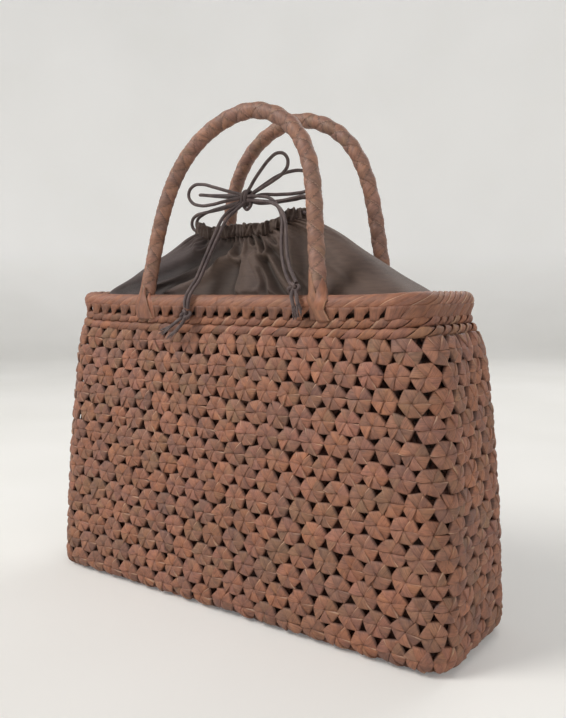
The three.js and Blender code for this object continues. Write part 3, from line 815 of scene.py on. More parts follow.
def make_handle(place, handle):
    """A round braid of four flat strips: two wind one way, two the other, over and under in turn."""
    walked, centre, first, second = handle_line(handle)
    piece = Piece()
    winding = 2 * math.pi * walked / BRAID_LAY
    half_turn = math.radians(90) * 0.94
    cells = int(walked[-1] / BRAID_LAY * 2) + 3
    for way in (1, -1):
        for strip in range(2):
            turn = way * winding + math.pi * strip
            over = (np.cos(2 * winding)[:, None] + np.cos(2 * (turn[:, None] + half_turn * BRAID_ACROSS))) / 2
            radius = 4.78 + way * 0.52 * over + 0.33 * (1 - BRAID_ACROSS ** 2)
            colours = bark_colours(cells, 0.06, 0.55)
            cell = (walked / BRAID_LAY * 2 + (0.5 if way < 0 else 0) + strip / 2).astype(int)
            tint = np.repeat(colours[cell][:, None], len(BRAID_ACROSS), 1)
            lighten(tint[:, 0 if way > 0 else -1], (rng.random(cells) < 0.65)[cell][:, None] * 0.75)
            # Painted shade where a strip dives under the strips that cross it
            clear_of_painted_shade = smoothstep(-0.16, 0.1, way * over)[..., None]
            tint = tint * (0.4 + 0.6 * clear_of_painted_shade) * (1.06, 1.24, 1.4)
            add_ribbon(piece, centre, first, second, turn, half_turn, radius, 0.85, tint, BRAID_ACROSS,
                       grain_start=17.0 * strip + 5 * way)
    body = f"{place}_handle"
    return piece.build(f"{body}_braid_strips", "vine_braid", f"{body}_braid", body)


# The strips at a handle's foot. Each has stations from top to bottom: sideways round the foot, out
# from its middle, height, half width.
FAN_STRIPS = [
    [(-4, 5.6, 230, 0.3), (-4, 5.8, 223, 1.3), (-3.8, 6, 216, 2.5), (-3.8, 6.3, 211, 3), (-4, 6.3, 206, 3.2),
     (-4, 6, 201, 3), (-3.8, 5.4, 197.4, 2.8)],
    [(5.8, 5.4, 215, 0.6), (6.4, 6, 212, 2), (7, 6.4, 209, 3), (7.4, 6.4, 205, 3.2), (7.8, 5.9, 200.5, 3),
     (8, 5.3, 197.4, 2.6)],
    [(2, 6.4, 219, 0.3), (2.2, 7.2, 214, 1.8), (2.4, 8.2, 209, 3.6), (2.5, 8.4, 204.5, 5),
     (2.5, 7.8, 200.5, 6.2), (2.5, 6.9, 197, 7)],
]
LEAF_STRIPS = [
    [(6.4, 5.9, 224, 0.5), (6.3, 6.3, 219, 3.2), (5.6, 7.0, 213.5, 4.8), (3.8, 7.7, 208, 4.2),
     (3.6, 6.9, 203, 3.6), (5.0, 6.0, 198, 3.2)],
    [(-3.6, 5.7, 229, 0.8), (-3.8, 6.2, 222, 3.0), (-3.0, 6.8, 215, 4.2), (0.4, 7.2, 208.5, 4.2),
     (4.0, 7.3, 203.5, 4.2), (6.8, 6.7, 198.5, 4.0)],
]


FOOT_ACROSS = np.array([-1, -0.85, -0.4, 0, 0.4, 0.85, 1])
FOOT_THICKNESS = 1.1


def curve_through(points, per_step):
    """A smooth line through the points, evenly split between them."""
    points = np.asarray(points, float)
    padded = np.concatenate([[2 * points[0] - points[1]], points, [2 * points[-1] - points[-2]]])
    t = np.linspace(0, 1, per_step, endpoint=False)[:, None]
    rows = []
    for a, b, c, d in zip(padded, padded[1:], padded[2:], padded[3:]):
        bend, swing = 2 * a - 5 * b + 4 * c - d, 3 * b - a - 3 * c + d
        rows.append(0.5 * (2 * b + (c - a) * t + bend * t ** 2 + swing * t ** 3))
    return np.concatenate(rows + [points[-1:]])


def make_foot(place, end_name, handle):
    """Flat strips that leave the braid and lie over the rim down to the twining."""
    end = -1 if end_name == "left" else 1
    side = handle["side"]
    x = handle["centre"] + end * FOOT_HALF_SPAN
    leg = handle_line(handle)[1][::-end][:60]
    piece = Piece()
    for number, stations in enumerate(FAN_STRIPS if end * side > 0 else LEAF_STRIPS):
        line = curve_through(stations, 5)
        sideways, out, height, half = (line[:, k, None] for k in range(4))
        offset = FOOT_ACROSS * half
        # The strips bend round the leaning braid above the rim and lie flat over the rim below
        bent = smoothstep(209, 217, height)
        follow_x = bent * (np.interp(height, leg[:, 2], leg[:, 0]) - x)
        follow_y = bent * (np.interp(height, leg[:, 2], leg[:, 1]) - side * RIM_HALF_DEPTH)
        turn = (sideways + offset) / out

        def lay(away):
            lie_x = (sideways + offset) * (1 - bent) + away * np.sin(turn) * bent
            lie_y = away * (1 - bent) + away * np.cos(turn) * bent
            return stack(x - side * lie_x + follow_x, side * (RIM_HALF_DEPTH + lie_y) + follow_y, height)

        lie = out - 0.5 * FOOT_ACROSS ** 2 - 0.02 * offset ** 2
        colour = bark_colours(1, 0.05, 0.4)[0] * (1.1, 1.02, 0.94)
        tint = np.tile(colour, (len(line), len(FOOT_ACROSS), 1))
        lighten(tint[:, -1], 0.5)
        # Painted shade along one edge of each strip
        tint[:, 0] *= 0.45
        tint[:, 1] *= 0.8
        piece.add_slabs(lay(lie), lay(lie - FOOT_THICKNESS), tint, stack(-height, offset, 3.0 * number), 0.7)
    name = f"{place}_{end_name}_foot_strip"
    foot = piece.build(f"{name}_fan", "vine_braid", name, None)
    start, stop = (Vector((x, side * RIM_HALF_DEPTH, BODY_HEIGHT + rise)) * MM for rise in (-2, 10))
    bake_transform(foot)
    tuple(start)
    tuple(stop)
    return foot


# Cords

LEAD_LEFT = [
    [(-53.2, -1.4, 260.8), (-57.2, -1.6, 260.6), (-61, -2, 263), (-61.4, -2.4, 268), (-57, -2.8, 271.8),
     (-50, -3, 273.2), (-39, -3.4, 274.2), (-27, -4, 275.6), (-13.7, -4.3, 279.1)],
    [(-53.2, 1.4, 260.8), (-57, 1.6, 260.8), (-60.2, 1.6, 263.6), (-59.6, 1.4, 269), (-54, 1.2, 272.6),
     (-45, 1, 275), (-34, 0.6, 276.8), (-24, 0, 278.2), (-13.8, -1.5, 279.9)],
]
LEAD_RIGHT = [
    [(37.4, -1.4, 268.6), (40.8, -1.4, 268.2), (45, -1.6, 270.6), (45, -1.8, 275.8), (39.6, -2, 279),
     (31, -2, 278.6), (22, -2, 277.6), (12, -2.6, 277.4), (-3.6, -3.5, 278.6)],
    [(37.4, 1.4, 268.6), (40.8, 1.4, 268.4), (44.2, 1.6, 271.4), (43.2, 1.6, 276.2), (37.4, 1.4, 278.6),
     (29, 1.2, 278), (20, 0.8, 277.4), (10, 0.4, 277), (-3.8, -1.1, 278.1)],
]
LOOP_LEFT = [
    [(-13.3, -5.1, 283.6), (-24, -6.2, 286.8), (-36, -7, 290.4), (-47, -7.4, 293.2), (-56, -7.4, 292.4),
     (-60.4, -7, 287.2), (-58, -6.8, 281.6), (-50, -6.6, 278.4), (-39, -6.8, 278.2), (-27, -7, 279.6),
     (-13.8, -5.8, 281.3)],
    [(-13.1, 0.2, 283.6), (-25, 3.6, 285), (-38, 6.4, 286), (-49, 8.2, 287), (-56.4, 7, 287.6),
     (-57.6, 2.8, 287.4), (-53, -0.4, 286.8), (-45, -1.2, 285.6), (-35, -1.4, 284.2), (-24, -1.6, 283),
     (-13.9, -2.2, 282.3)],
]
LOOP_RIGHT = [
    [(-6.6, -3.5, 287.2), (-1.6, -4, 293), (5, -4.4, 299.6), (11.6, -4.6, 305.4), (19, -4.6, 309),
     (25.4, -4.4, 306.8), (27, -4.2, 300.8), (23, -4, 295.6), (14.6, -4, 291), (6, -4, 287.4),
     (-2.9, -3.7, 283.8)],
    [(-3.9, -0.9, 285.4), (4.6, 0.8, 290.4), (13.6, 1.6, 294.6), (24, 2, 297), (35, 2.2, 296.6),
     (43.4, 2.2, 292.8), (45, 2, 287.4), (40, 1.8, 283.6), (29, 1.4, 282), (16, 0.8, 282.2),
     (-3.3, -1.1, 282.1)],
]
TAIL_LEFT = [
    [(-12.2, -5.9, 277.2), (-18, -8.4, 273.6), (-21.6, -12, 269.4), (-22.4, -16.4, 264), (-22.6, -21, 256.6),
     (-23, -26.6, 247.2), (-23.8, -33.4, 235), (-24.8, -40, 223.2), (-25.4, -45.4, 216.8), (-25.6, -48.9, 211),
     (-25.8, -49.2, 204.8)],
    [(-9.8, -7.3, 276.2), (-14.4, -9.6, 272), (-17.8, -12.6, 268), (-19, -16.4, 262.6), (-19.4, -21, 255.2),
     (-20, -26.6, 246), (-20.8, -33.4, 234), (-21.8, -40, 222.6), (-22.4, -45.4, 216.6), (-22.6, -48.9, 211),
     (-23.3, -49.1, 204.4)],
]
TAIL_RIGHT = [
    [(-3.7, -6, 281.7), (6, -7.2, 281), (15.4, -8, 278.6), (23, -9.8, 272.4), (28.8, -13.4, 264.6),
     (32.6, -18.6, 255.6), (36.6, -24.6, 245.2), (43, -31.6, 233.8), (51.6, -38.4, 223.8), (56.8, -42, 220)],
    [(-4.4, -6.5, 279.3), (7.6, -10, 277.4), (18.6, -11.8, 275.4), (28, -14, 270.4), (34.4, -17.4, 262),
     (38.4, -22, 252.6), (43.4, -28, 241.6), (49.8, -34, 231.4), (56.4, -38.6, 224.4), (59.6, -40.8, 221.2)],
]
TIP_LEFT = [
    [(-26.2, -49.2, 199.8), (-31, -50.6, 196.4), (-38, -51, 192.2), (-46, -50.8, 188.6)],
    [(-25.2, -49.2, 200), (-26.6, -51, 195), (-31.6, -51.6, 190), (-38.6, -51, 185.6)],
]
TIP_RIGHT = [
    [(59.8, -44.4, 217.6), (61.4, -48.6, 213.6), (63.6, -49.8, 207.4), (65.4, -49.4, 201)],
    [(60.8, -43.8, 217.4), (64.6, -48, 213.6), (66.8, -49.6, 208.4), (68, -49.6, 203)],
]
BOW_KNOT = np.array([-8.6, -3, 281])
KNOT_LEFT = np.array([-25.4, -48.9, 200.6])
KNOT_RIGHT = np.array([59.8, -43.8, 217.9])
CORD_TINT = linear((88, 80, 78))


def line_frames(line, closed=False):
    """Directions across a line that turn as little as they can."""
    tangent = np.roll(line, -1, 0) - np.roll(line, 1, 0) if closed else np.gradient(line, axis=0)
    tangent = tangent / np.linalg.norm(tangent, axis=1)[:, None]
    start = np.cross(tangent[0], [0.31, 0.87, 0.39])
    first = [start / np.linalg.norm(start)]
    for way in tangent[1:]:
        turned = first[-1] - way * np.dot(first[-1], way)
        first.append(turned / np.linalg.norm(turned))
    first = np.array(first)
    if closed:
        second = np.cross(tangent, first)
        end = first[-1] - tangent[0] * np.dot(first[-1], tangent[0])
        twist = math.atan2(np.dot(end, second[0]), np.dot(end, first[0]))
        back = (-twist * np.arange(len(line)) / len(line))[:, None]
        first = np.cos(back) * first + np.sin(back) * second
    return first, np.cross(tangent, first)


def add_tube(piece, line, radius=CORD_DIAMETER / 2, closed=False, sides=10):
    """A round cord along a line. radius is one number, or one for each point."""
    rows = len(line)
    first, second = line_frames(line, closed)
    angle = (np.arange(sides) * 2 * math.pi / sides)[None, :, None]
    ring = np.cos(angle) * first[:, None] + np.sin(angle) * second[:, None]
    points = line[:, None] + ring * np.broadcast_to(radius, rows)[:, None, None]
    faces = [grid_faces(rows, sides, wrap_rows=closed, wrap_columns=True)]
    if not closed:
        faces += [np.arange(sides)[None, ::-1], (np.arange(sides) + (rows - 1) * sides)[None]]
    piece.add(points, faces, CORD_TINT)


def make_strand(name, route, nodes):
    """One free length of drawcord, as a smooth curve through its route."""
    curve = bpy.data.curves.new(name, "CURVE")
    curve.dimensions = "3D"
    curve.bevel_depth = CORD_DIAMETER / 2 * MM
    curve.bevel_resolution = 3
    curve.resolution_u = 8
    curve.use_fill_caps = True
    spline = curve.splines.new("BEZIER")
    spline.bezier_points.add(len(route) - 1)
    for point, place in zip(spline.bezier_points, route):
        point.co = Vector(place) * MM
        point.handle_left_type = point.handle_right_type = "AUTO"
    strand = place_object(name, curve, "drawcord", "basket", nodes)
    line = curve_through(route, 12)
    [c * MM for c in route[0]]


def knot_line(centre, size, turns=2, folds=3, points=72):
    """An overhand knot's line, drawn tight into a ball."""
    angle = np.arange(points) * 2 * math.pi / points
    ring = 1 + 0.62 * np.cos(folds * angle)
    shape = stack(ring * np.cos(turns * angle), 0.9 * np.sin(folds * angle), ring * np.sin(turns * angle))
    return centre + shape * size / 1.62


def make_bow_knot():
    """The strands of the bow drawn together, with the wraps that hold it and a small slack loop below."""
    piece = Piece()
    add_tube(piece, knot_line(BOW_KNOT, (4.0, 4.6, 4.9)), closed=True)
    angle = np.arange(28) * 2 * math.pi / 28
    for shift, lean in ((-1.5, 0.16), (1.2, 0.05)):
        wrap = stack(shift + lean * 5 * np.sin(angle), 4.3 * np.cos(angle), 5.0 * np.sin(angle))
        add_tube(piece, BOW_KNOT + wrap, closed=True)
    slack = stack(3.2 * np.cos(angle), 0.8 * np.sin(2 * angle), 2.9 * np.sin(angle))
    add_tube(piece, BOW_KNOT + (2.2, -3.0, -5.2) + slack, closed=True)
    return piece.build("bow_knot_wraps", "drawcord", "bow_knot")


def make_tail_knot(node, centre, tips):
    """A tight overhand knot on a pair of tails, whose two ends fray below it."""
    piece = Piece()
    add_tube(piece, knot_line(centre, (3.8, 2.9, 2.9), points=60), closed=True)
    for tip in tips:
        joined = np.concatenate([[centre], curve_through(tip, 6)])
        add_tube(piece, joined[:-5])
        frayed = joined[-8:]
        for strand in range(8):
            angle = 2 * math.pi * strand / 8 + rng.normal(0, 0.25)
            spread = np.linspace(0.5, rng.uniform(1.2, 2.6), len(frayed))[:, None]
            drift = np.array([math.cos(angle), 0.5 * math.sin(angle), math.sin(angle)]) * spread
            add_tube(piece, frayed + drift, np.linspace(0.65, 0.35, len(frayed)), sides=6)
    return piece.build(f"{node}_tied", "drawcord", node)


def make_cords():
    bow = make_bow_knot()
    left = make_tail_knot("tail_knot_left", KNOT_LEFT, TIP_LEFT)
    right = make_tail_knot("tail_knot_right", KNOT_RIGHT, TIP_RIGHT)
    plan = [
        ("left", "right", left, LEAD_LEFT, LOOP_RIGHT, TAIL_LEFT),
        ("right", "left", right, LEAD_RIGHT, LOOP_LEFT, TAIL_RIGHT),
    ]
    for side, loop_side, knot, lead, loop, tail in plan:
        for number in (1, 2):
            nodes = [f"cord_lead_{side}_{number}", f"bow_loop_{loop_side}_{number}",
                     f"cord_tail_{side}_{number}"]
            route = lead[number - 1] + loop[number - 1] + tail[number - 1]
            make_strand(f"drawcord_{side}_{number}", route, nodes)


make_cords()


# Pouch

def end_lift(across):
    """How far the gathered neck is pulled up towards its two ends, where the cords leave it.
    across goes from -1 at its left end to 1 at its right end."""
    return RIGHT_END_LIFT * smoothstep(0.4, 1.0, across) + LEFT_END_LIFT * smoothstep(0.6, 1.0, -across)


def wander(count, columns, size=1.0):
    """Uneven values that go all the way round."""
    values = rng.normal(0, size, count)
    place = np.arange(columns) / columns * count
    index = place.astype(int)
    share = smoothstep(0, 1, place - index)
    return values[index] * (1 - share) + values[(index + 1) % count] * share


def ring_grain(rows, columns, width, height):
    """A grain that goes all the way round, with its seam at the back."""
    across, up = np.linspace(0, width, columns, endpoint=False), np.linspace(0, height, rows)[:, None]
    return np.roll(stack(across, up, 0.0), columns // 2, axis=1)


def make_lining():
    """The part of the pouch inside the basket: a flat bottom and four walls."""
    columns = 320
    seam_line = wall_outline(SEAM_HEIGHT, LINING_OFFSET)
    distance = np.arange(columns) * seam_line.length / columns
    _, _, out_x, out_y = seam_line.at(distance)
    rows = []
    for height in np.linspace(LINING_BOTTOM + CLOTH, SEAM_HEIGHT, 40):
        line = wall_outline(height, LINING_OFFSET)
        x, y, _, _ = line.at(distance / seam_line.length * line.length)
        slack = 0.35 * np.sin(distance / 9 + 3 * math.sin(height / 40)) - 0.4
        rows.append(stack(x + out_x * slack, y + out_y * slack, height))
    height = SEAM_HEIGHT - LINING_BOTTOM
    walls = Piece()
    grain = ring_grain(len(rows), columns, seam_line.length, height)
    walls.add_slabs(np.array(rows), rows - stack(out_x, out_y, 0.0) * 0.6, 1.0, grain, wrap_columns=True)
    wall_piece = walls.build("lining_walls_cloth", "pouch_cloth", "lining_walls")

    rings, columns = 12, 120
    inset = LINING_OFFSET - 2
    half_length, half_depth = BASE_HALF_LENGTH + inset, BASE_HALF_DEPTH + inset
    outline = Outline(half_length, half_depth, BASE_CORNER + inset)
    x, y, _, _ = outline.at(np.arange(columns) * outline.length / columns)
    shares = np.linspace(0.02, 1, rings)[:, None]
    flat = stack(x * shares, y * shares, LINING_BOTTOM + 0.25 * np.sin(9 * shares)).reshape(-1, 3)
    size = rings * columns
    top = grid_faces(rings, columns, wrap_columns=True)
    edge = np.arange(size - columns, size)
    after = np.roll(edge, -1)
    rim = np.stack([edge, after, after + size, edge + size], -1)
    lid = np.arange(columns)[None, ::-1]
    points = np.concatenate([flat, flat - (0, 0, 0.5)])
    base = Piece()
    base.add(points, [np.concatenate([top, top[:, ::-1] + size, rim]), lid, lid[:, ::-1] + size], 3 * [1.0])
    base_piece = base.build("lining_base_cloth", "pouch_cloth", "lining_base")


# The collar from the seam up to the neck: height, half length, half depth, centre, power, share of
# the neck's lift, and how strongly the cloth folds there
COLLAR_ROWS = np.array([
    (182.1, 146.8, 35.9, 0.0, 9.0, 0.0, 0.0),
    (192.0, 138.6, 34.4, 0.0, 7.0, 0.0, 0.0),
    (203.0, 133.2, 33.3, 0.0, 6.0, 0.0, 0.1),
    (211.0, 131.7, 32.9, -1.6, 5.4, 0.0, 0.45),
    (216.5, 130.3, 31.6, -6.2, 4.8, 0.0, 0.85),
    (226.0, 115.4, 27.0, -6.0, 3.6, 0.0, 1.0),
    (236.0, 99.0, 22.4, -6.2, 2.9, 0.1, 1.0),
    (243.5, 81.0, 18.8, -5.6, 2.6, 0.4, 1.0),
    (249.0, 65.0, 15.8, -6.4, 2.4, 0.8, 0.85),
    (252.6, 54.5, 13.2, -8.2, 2.3, 1.0, 0.6),
    (255.2, 45.6, 11.4, -10.0, 2.3, 1.0, 0.5),
])
COLLAR_COLUMNS = 960
COLLAR_STEPS = 8
COLLAR_CUT_HEIGHT = 86


def fold_field(share, up, folds):
    """Ridges and hollows that run up the collar. share is the way round, up goes from 0 to 1."""
    total = np.zeros(np.broadcast(share, up).shape)
    for start, end, width_low, width_high, height, low, high in folds:
        middle = start + (end - start) * up
        away = np.mod(share - middle + 0.5, 1) - 0.5
        width = width_low + (width_high - width_low) * up
        reach = smoothstep(low - 0.12, low + 0.12, up) * (1 - smoothstep(high - 0.06, high + 0.06, up))
        total += height * np.exp(-(away / width) ** 2) * reach
    return total


# Folds drawn after the photograph: height and half width in millimetres, and the line each
# follows, as the share of the way round and how far up it is from the rim to the neck
COLLAR_SLANT = 46
DRAWN_FOLDS = [
    # the deep valleys and the ridges between them, left of the middle
    (-9.4, 8, [(-0.185, 0.1), (-0.14, 0.36), (-0.1, 0.56), (-0.055, 0.82)]),
    (3.8, 4.5, [(-0.13, 0.2), (-0.105, 0.36), (-0.08, 0.52), (-0.07, 0.66)]),
    (-8, 5.5, [(-0.115, 0.05), (-0.1, 0.22), (-0.065, 0.42), (-0.04, 0.78)]),
    (4.4, 6, [(-0.085, 0.04), (-0.075, 0.2), (-0.04, 0.4), (-0.025, 0.6)]),
    (2.5, 3, [(-0.07, 0.95), (-0.045, 0.78), (-0.03, 0.6)]),
    (-4.4, 8, [(-0.005, 0.05), (0, 0.44)]),
    # the teardrop puff, with its outline
    (3.2, 8, [(0.033, 0.02), (0.035, 0.3), (0.03, 0.58)]),
    (-3.2, 2.2, [(0.01, 0.04), (0.01, 0.45), (0.016, 0.58)]),
    (2, 2, [(0.018, 0.1), (0.016, 0.3), (0.024, 0.62)]),
    (2.2, 2, [(0.045, 0.08), (0.053, 0.25), (0.04, 0.63)]),
    (-2.8, 2.2, [(0.057, 0.1), (0.058, 0.28), (0.053, 0.42)]),
    # the slanting creases right of it
    (3.8, 3.2, [(0.066, 0.04), (0.063, 0.3), (0.048, 0.66)]),
    (-6.2, 3.6, [(0.079, 0.03), (0.072, 0.24), (0.062, 0.58)]),
    (3.2, 4, [(0.094, 0.08), (0.086, 0.3), (0.077, 0.6)]),
    (-4.8, 3.2, [(0.104, 0.15), (0.096, 0.42), (0.083, 0.74)]),
    (-3.8, 4, [(0.16, 0.86), (0.14, 0.72), (0.118, 0.4)]),
    (-3, 6, [(0.178, 0.9), (0.168, 0.6), (0.17, 0.3)]),
    # the cloth's loops below the hem, each a ridge round a hollow
    (3, 1.8, [(-0.18, 0.97), (-0.15, 0.89), (-0.12, 0.81), (-0.1, 0.85), (-0.115, 0.98)]),
    (-3.2, 2.4, [(-0.14, 0.95), (-0.118, 0.87)]),
    (2.8, 1.8, [(-0.024, 0.9), (-0.015, 0.74), (0.002, 0.62), (0.018, 0.62), (0.022, 0.88)]),
    (-3.8, 2.4, [(-0.008, 0.88), (0, 0.74)]),
    (2.5, 1.5, [(0.034, 0.96), (0.036, 0.85), (0.045, 0.8), (0.055, 0.87), (0.058, 0.97)]),
    (-3, 1.6, [(0.045, 0.96), (0.046, 0.87)]),
    (2.5, 1.5, [(0.064, 0.95), (0.057, 0.76), (0.061, 0.67), (0.07, 0.75), (0.08, 0.92)]),
    (-3, 1.6, [(0.07, 0.94), (0.064, 0.78)]),
    (2.5, 1.5, [(0.1, 0.97), (0.095, 0.87), (0.1, 0.8), (0.115, 0.86), (0.13, 0.95)]),
    (-3, 1.8, [(0.114, 0.96), (0.106, 0.87)]),
]


def drawn_field(share, up, length):
    """Ridges and hollows along the drawn lines. length is how far it is round the collar at each row."""
    total = np.zeros(np.broadcast(share, up).shape)
    for height, width, line in DRAWN_FOLDS:
        line = curve_through(line, 4)
        nearest = np.full(total.shape, np.inf)
        for first, second in zip(line[:-1], line[1:]):
            from_x, from_y = (share - first[0]) * length, (up - first[1]) * COLLAR_SLANT
            way_x, way_y = (second[0] - first[0]) * length, (second[1] - first[1]) * COLLAR_SLANT
            walked = np.clip((from_x * way_x + from_y * way_y) / (way_x ** 2 + way_y ** 2), 0, 1)
            nearest = np.minimum(nearest, (from_x - walked * way_x) ** 2 + (from_y - walked * way_y) ** 2)
        total += height * np.exp(-nearest / width ** 2)
    return total


def eased(value, limit):
    """The value, bent so that it never passes the limit."""
    return limit * np.tanh(value / limit)


def random_folds(count, low, high, height, reach):
    folds = []
    for _ in range(count):
        start = rng.uniform(low, high)
        end = start + rng.normal(0, 0.012)
        width = rng.uniform(0.006, 0.014)
        bottom = rng.uniform(*reach)
        size = rng.choice([-1, 1]) * rng.uniform(0.5, 1) * height
        folds.append((start, end, width * 1.8, width * 0.8, size, bottom, 0.97))
    return folds


def make_collar():
    """The cloth that rises inside the rim and is drawn together at the neck."""
    rows = curve_through(COLLAR_ROWS, COLLAR_STEPS)
    share = np.arange(COLLAR_COLUMNS) / COLLAR_COLUMNS
    up = np.clip((rows[:, :1] - 212) / 42, 0, 1)
    folds = random_folds(26, 0.3, 0.76, 2.4, (0.3, 0.7)) + random_folds(40, 0.15, 0.85, 2.4, (0.76, 0.9))
    outlines = [Outline(row[1], row[2], power=row[4], centre=row[3]) for row in rows]
    lengths = np.array([outline.length for outline in outlines])[:, None]
    signed = np.mod(share + 0.5, 1) - 0.5
    field = fold_field(share, up, folds) + drawn_field(signed, (rows[:, :1] - 212) / 42, lengths)
    pleats = 1.1 * np.sin(2 * math.pi * 47 * share + 2.2 * np.sin(2 * math.pi * 5 * share))
    gather = smoothstep(0.8, 1.0, up) * pleats
    surface, inward, tint = np.empty((3, len(rows), COLLAR_COLUMNS, 3))
    # Painted light and shade: the cloth is painted a little lighter on its right half, cooler on its left for
    # cool shade, paler on crests and darker in hollows
    painted_light_right = smoothstep(0.085, 0.16, share) * (1 - smoothstep(0.3, 0.4, share))
    painted_cool_shade = (smoothstep(0.04, 0.11, -signed) * (1 - smoothstep(0.3, 0.4, -signed)))[:, None]
    for index, (height, half_length, half_depth, centre, power, lift, fold) in enumerate(rows):
        x, y, out_x, out_y = outlines[index].at(share * lengths[index])
        push = fold * (field[index] - 1.0) + gather[index]
        room = min(half_depth * 0.38, 6.5)
        out_room = 0.2 + 3.8 * smoothstep(214, 219, height)
        push = np.where(push < 0, eased(push, room), eased(push, out_room))
        across = np.clip((x - centre) / half_length, -1, 1)
        level = height + lift * end_lift(across) + 0.35 * push * smoothstep(216, 230, height)
        surface[index] = stack(x + out_x * push, y + out_y * push, level)
        painted_light_and_shade = 1 + 0.095 * np.clip(push, -6, 3.4) + 0.55 * painted_light_right
        tint[index] = painted_light_and_shade[:, None] * (1 + painted_cool_shade * np.array([0.02, 0.12, 0.35]))
        inward[index] = stack(out_x, out_y, 0.0) * 0.5
    width = Outline(*COLLAR_ROWS[0, 1:3], power=9).length
    piece = Piece()
    grain = ring_grain(len(rows), COLLAR_COLUMNS, width, COLLAR_CUT_HEIGHT)
    piece.add_slabs(surface, surface - inward, tint, grain, wrap_columns=True)
    collar = piece.build("pouch_collar_cloth", "pouch_cloth", "pouch_collar")
    return width


RUFFLES = 44
HEM_CUT_HEIGHT = 22
HEM_COLUMNS = 1100
# Count of the uneven values round the hem, the columns that they are spread over, and their size
HEM_WANDERS = [(48, HEM_COLUMNS, 0.9), (36, HEM_COLUMNS, 0.9), (83, HEM_COLUMNS, 0.6), (40, HEM_COLUMNS, 0.8)]
# Round the band's section: how far out from the neck's outline, and how far up
HEM_SECTION = [(-1.2, -0.06), (-0.6, 0.0), (-0.3, 0.1), (-0.1, 0.22), (0.0, 0.34), (0.0, 0.46), (-0.1, 0.58),
               (-0.15, 0.7), (-0.3, 0.81), (-0.7, 0.92), (-1.2, 0.98), (-1.9, 1.0), (-3.2, 0.97), (-4.0, 0.84),
               (-4.3, 0.62), (-4.3, 0.38), (-4.2, 0.16), (-3.9, 0.02)]


def make_hem(width):
    """The hem that holds the cords: a folded band, ruffled where it is drawn together."""
    outline = Outline(NECK_HALF_LENGTH, NECK_HALF_DEPTH, power=NECK_POWER, centre=NECK_CENTRE)
    share = np.arange(HEM_COLUMNS) / HEM_COLUMNS
    x, y, out_x, out_y = outline.at(share * outline.length)
    across = (x - NECK_CENTRE) / NECK_HALF_LENGTH
    phase = 2 * math.pi * RUFFLES * share + wander(31, HEM_COLUMNS, 1.3)
    wave = np.sin(phase)
    uneven = np.clip(1 + wander(57, HEM_COLUMNS, 0.5), 0.2, 1.9)
    uneven = uneven * (0.3 + 0.7 * smoothstep(-0.98, -0.5, across))
    crest, slip, bulge, lean = (wander(*values) for values in HEM_WANDERS)
    rows = []
    for out, up in HEM_SECTION:
        pinch = 1.25 - 0.75 * math.exp(-((up - 0.5) / 0.28) ** 2)
        twist = np.sin(phase + 4.5 * (up - 0.5) * lean)
        fold = np.sin(1.7 * phase + 5 * up * bulge + 2 * crest)
        away = out + eased((1.5 * twist * uneven + 0.5 * fold + 0.8 * bulge) * pinch, 2.8)
        lift = end_lift(across) + crest * smoothstep(0.5, 1, up) + 0.6 * slip * (1 - up)
        level = CASING_BOTTOM + up * (CASING_TOP - CASING_BOTTOM) + lift + 0.6 * wave * smoothstep(0.6, 0.9, up)
        rows.append(stack(x + out_x * away, y + out_y * away, level))
    outside = np.array(rows)
    steps = np.diff(outside, axis=0, prepend=outside[:1] * 2 - outside[1:2])
    tangent = steps / np.linalg.norm(steps, axis=2)[..., None]
    sideways = np.cross(tangent, np.cross(stack(out_x, out_y, 0.0), [0, 0, 1]))
    sideways /= np.linalg.norm(sideways, axis=2)[..., None]
    piece = Piece()
    grain = ring_grain(len(rows), HEM_COLUMNS, width, HEM_CUT_HEIGHT)
    piece.add_slabs(outside, outside - sideways * 0.45, 1.0, grain, wrap_columns=True)
    hem = piece.build("neck_hem_ruffled", "pouch_cloth", "neck_casing")


def make_casing_cords():
    """The held part of each drawcord, round the neck inside the hem."""
    outline = Outline(NECK_HALF_LENGTH - 2.7, NECK_HALF_DEPTH - 2.7, power=NECK_POWER, centre=NECK_CENTRE)
    for name, height, start in (("casing_cord_left", 256.9, 0.78), ("casing_cord_right", 259.6, 0.28)):
        x, y, _, _ = outline.at((start + np.linspace(0, 0.94, 220)) * outline.length)
        piece = Piece()
        add_tube(piece, stack(x, y, height + end_lift((x - NECK_CENTRE) / NECK_HALF_LENGTH)), sides=8)
        piece.build(f"{name}_wound", "drawcord", name)


make_courses()
make_base()
make_twining("twining_upper", COURSES_TOP + 2 * TWINING_HEIGHT, UPPER_TWINING_SPREAD)
make_twining("twining_lower", COURSES_TOP + TWINING_HEIGHT, LOWER_TWINING_SPREAD)
make_lashing()
make_rim_wrap()
for place, handle in HANDLES.items():
    make_handle(place, handle)
    for end_name in ("left", "right"):
        make_foot(place, end_name, handle)
make_lining()
cloth_width = make_collar()
make_hem(cloth_width)
make_casing_cords()

for name in ("rim_core", "front_handle_core", "rear_handle_core"):
    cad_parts[name].data.materials.clear()
    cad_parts[name].data.materials.append(MATERIALS["vine_core"])


# Floor, backdrop and light

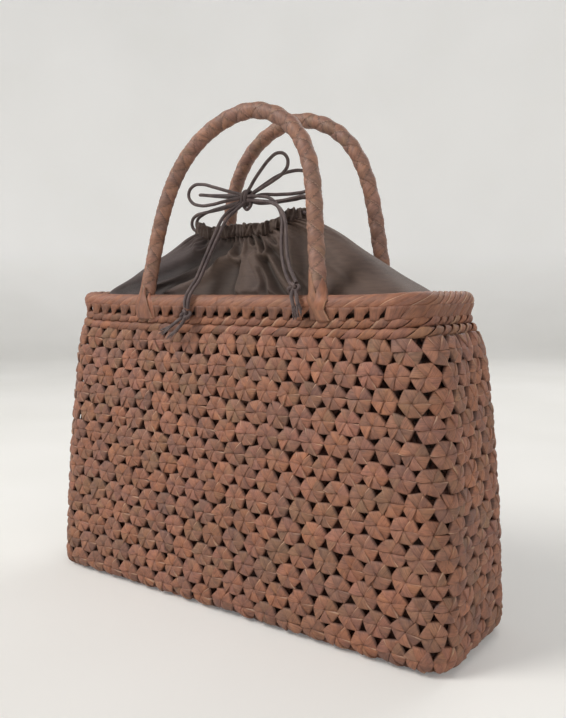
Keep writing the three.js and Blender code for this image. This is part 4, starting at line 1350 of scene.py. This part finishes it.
def stage_material():
    """Pale ground. The backdrop, which gets less light than the floor, glows a little for the camera."""
    shader = Shader("pale_ground")
    place = shader.place()
    colour = shader.ramp(shader.noise(place, 3, 2), (0.3, (222, 220, 215)), (0.7, (228, 226, 222)))
    rays = shader.node("LightPath").outputs
    mirrored = shader.math("MAXIMUM", rays["Is Glossy Ray"], rays["Is Transmission Ray"])
    seen = shader.math("MAXIMUM", rays["Is Camera Ray"], mirrored)
    height = shader.node("SeparateXYZ", {"Vector": place}).outputs["Z"]
    share = shader.node("MapRange", {"Value": height, "From Max": 0.4, "To Min": 0.12, "To Max": 0.3})
    glow = shader.math("MULTIPLY", seen, share.outputs["Result"])
    return shader.finish(Base_Color=colour, Roughness=0.9, Specular_IOR_Level=0.2,
                         Emission_Color=(0.975, 0.98, 1, 1), Emission_Strength=glow)


def make_stage():
    """A floor that curves up into a backdrop behind the bag, seen from any side."""
    turns = 96
    bend = [(2.2 + 0.9 * math.sin(a), 0.9 * (1 - math.cos(a))) for a in np.linspace(0, math.pi / 2, 9)]
    points, faces = [(0, 0, 0)], []
    for radius, height in bend + [(3.1, 4)]:
        angles = 2 * math.pi * np.arange(turns) / turns
        points += [(radius * math.cos(angle), radius * math.sin(angle), height) for angle in angles]
    for k in range(turns):
        after = (k + 1) % turns
        faces.append((0, 1 + k, 1 + after))
        for a in range(1, len(bend) * turns, turns):
            faces.append((a + k, a + turns + k, a + turns + after, a + after))
    mesh = bpy.data.meshes.new("floor")
    mesh.from_pydata(points, [], faces)
    mesh.polygons.foreach_set("use_smooth", [True] * len(mesh.polygons))
    mesh.materials.append(stage_material())
    ground = bpy.data.objects.new("floor", mesh)
    bpy.context.scene.collection.objects.link(ground)


def make_lamp(name, place, target, size, power, colour=(1, 1, 1)):
    data = bpy.data.lights.new(name, "AREA")
    data.shape = "DISK"
    data.size = size
    data.energy = power
    data.color = colour
    lamp = bpy.data.objects.new(name, data)
    bpy.context.scene.collection.objects.link(lamp)
    lamp.location = place
    lamp.rotation_euler = (Vector(target) - Vector(place)).to_track_quat("-Z", "Y").to_euler()


def make_light():
    world = bpy.data.worlds.new("studio")
    bpy.context.scene.world = world
    world.use_nodes = True
    world.node_tree.nodes["Background"].inputs["Color"].default_value = (0.93, 0.96, 1, 1)
    world.node_tree.nodes["Background"].inputs["Strength"].default_value = 0.41
    middle = (0, 0, 0.14)
    make_lamp("window", (-1.0, -1.3, 1.6), middle, 1.0, 33.5, (1, 0.985, 0.96))
    make_lamp("fill", (1.6, -0.8, 0.9), middle, 1.4, 7.8)
    make_lamp("back", (0.2, 1.6, 1.5), middle, 1.2, 12)


make_stage()
make_light()
bpy.context.scene.view_settings.view_transform = "Standard"
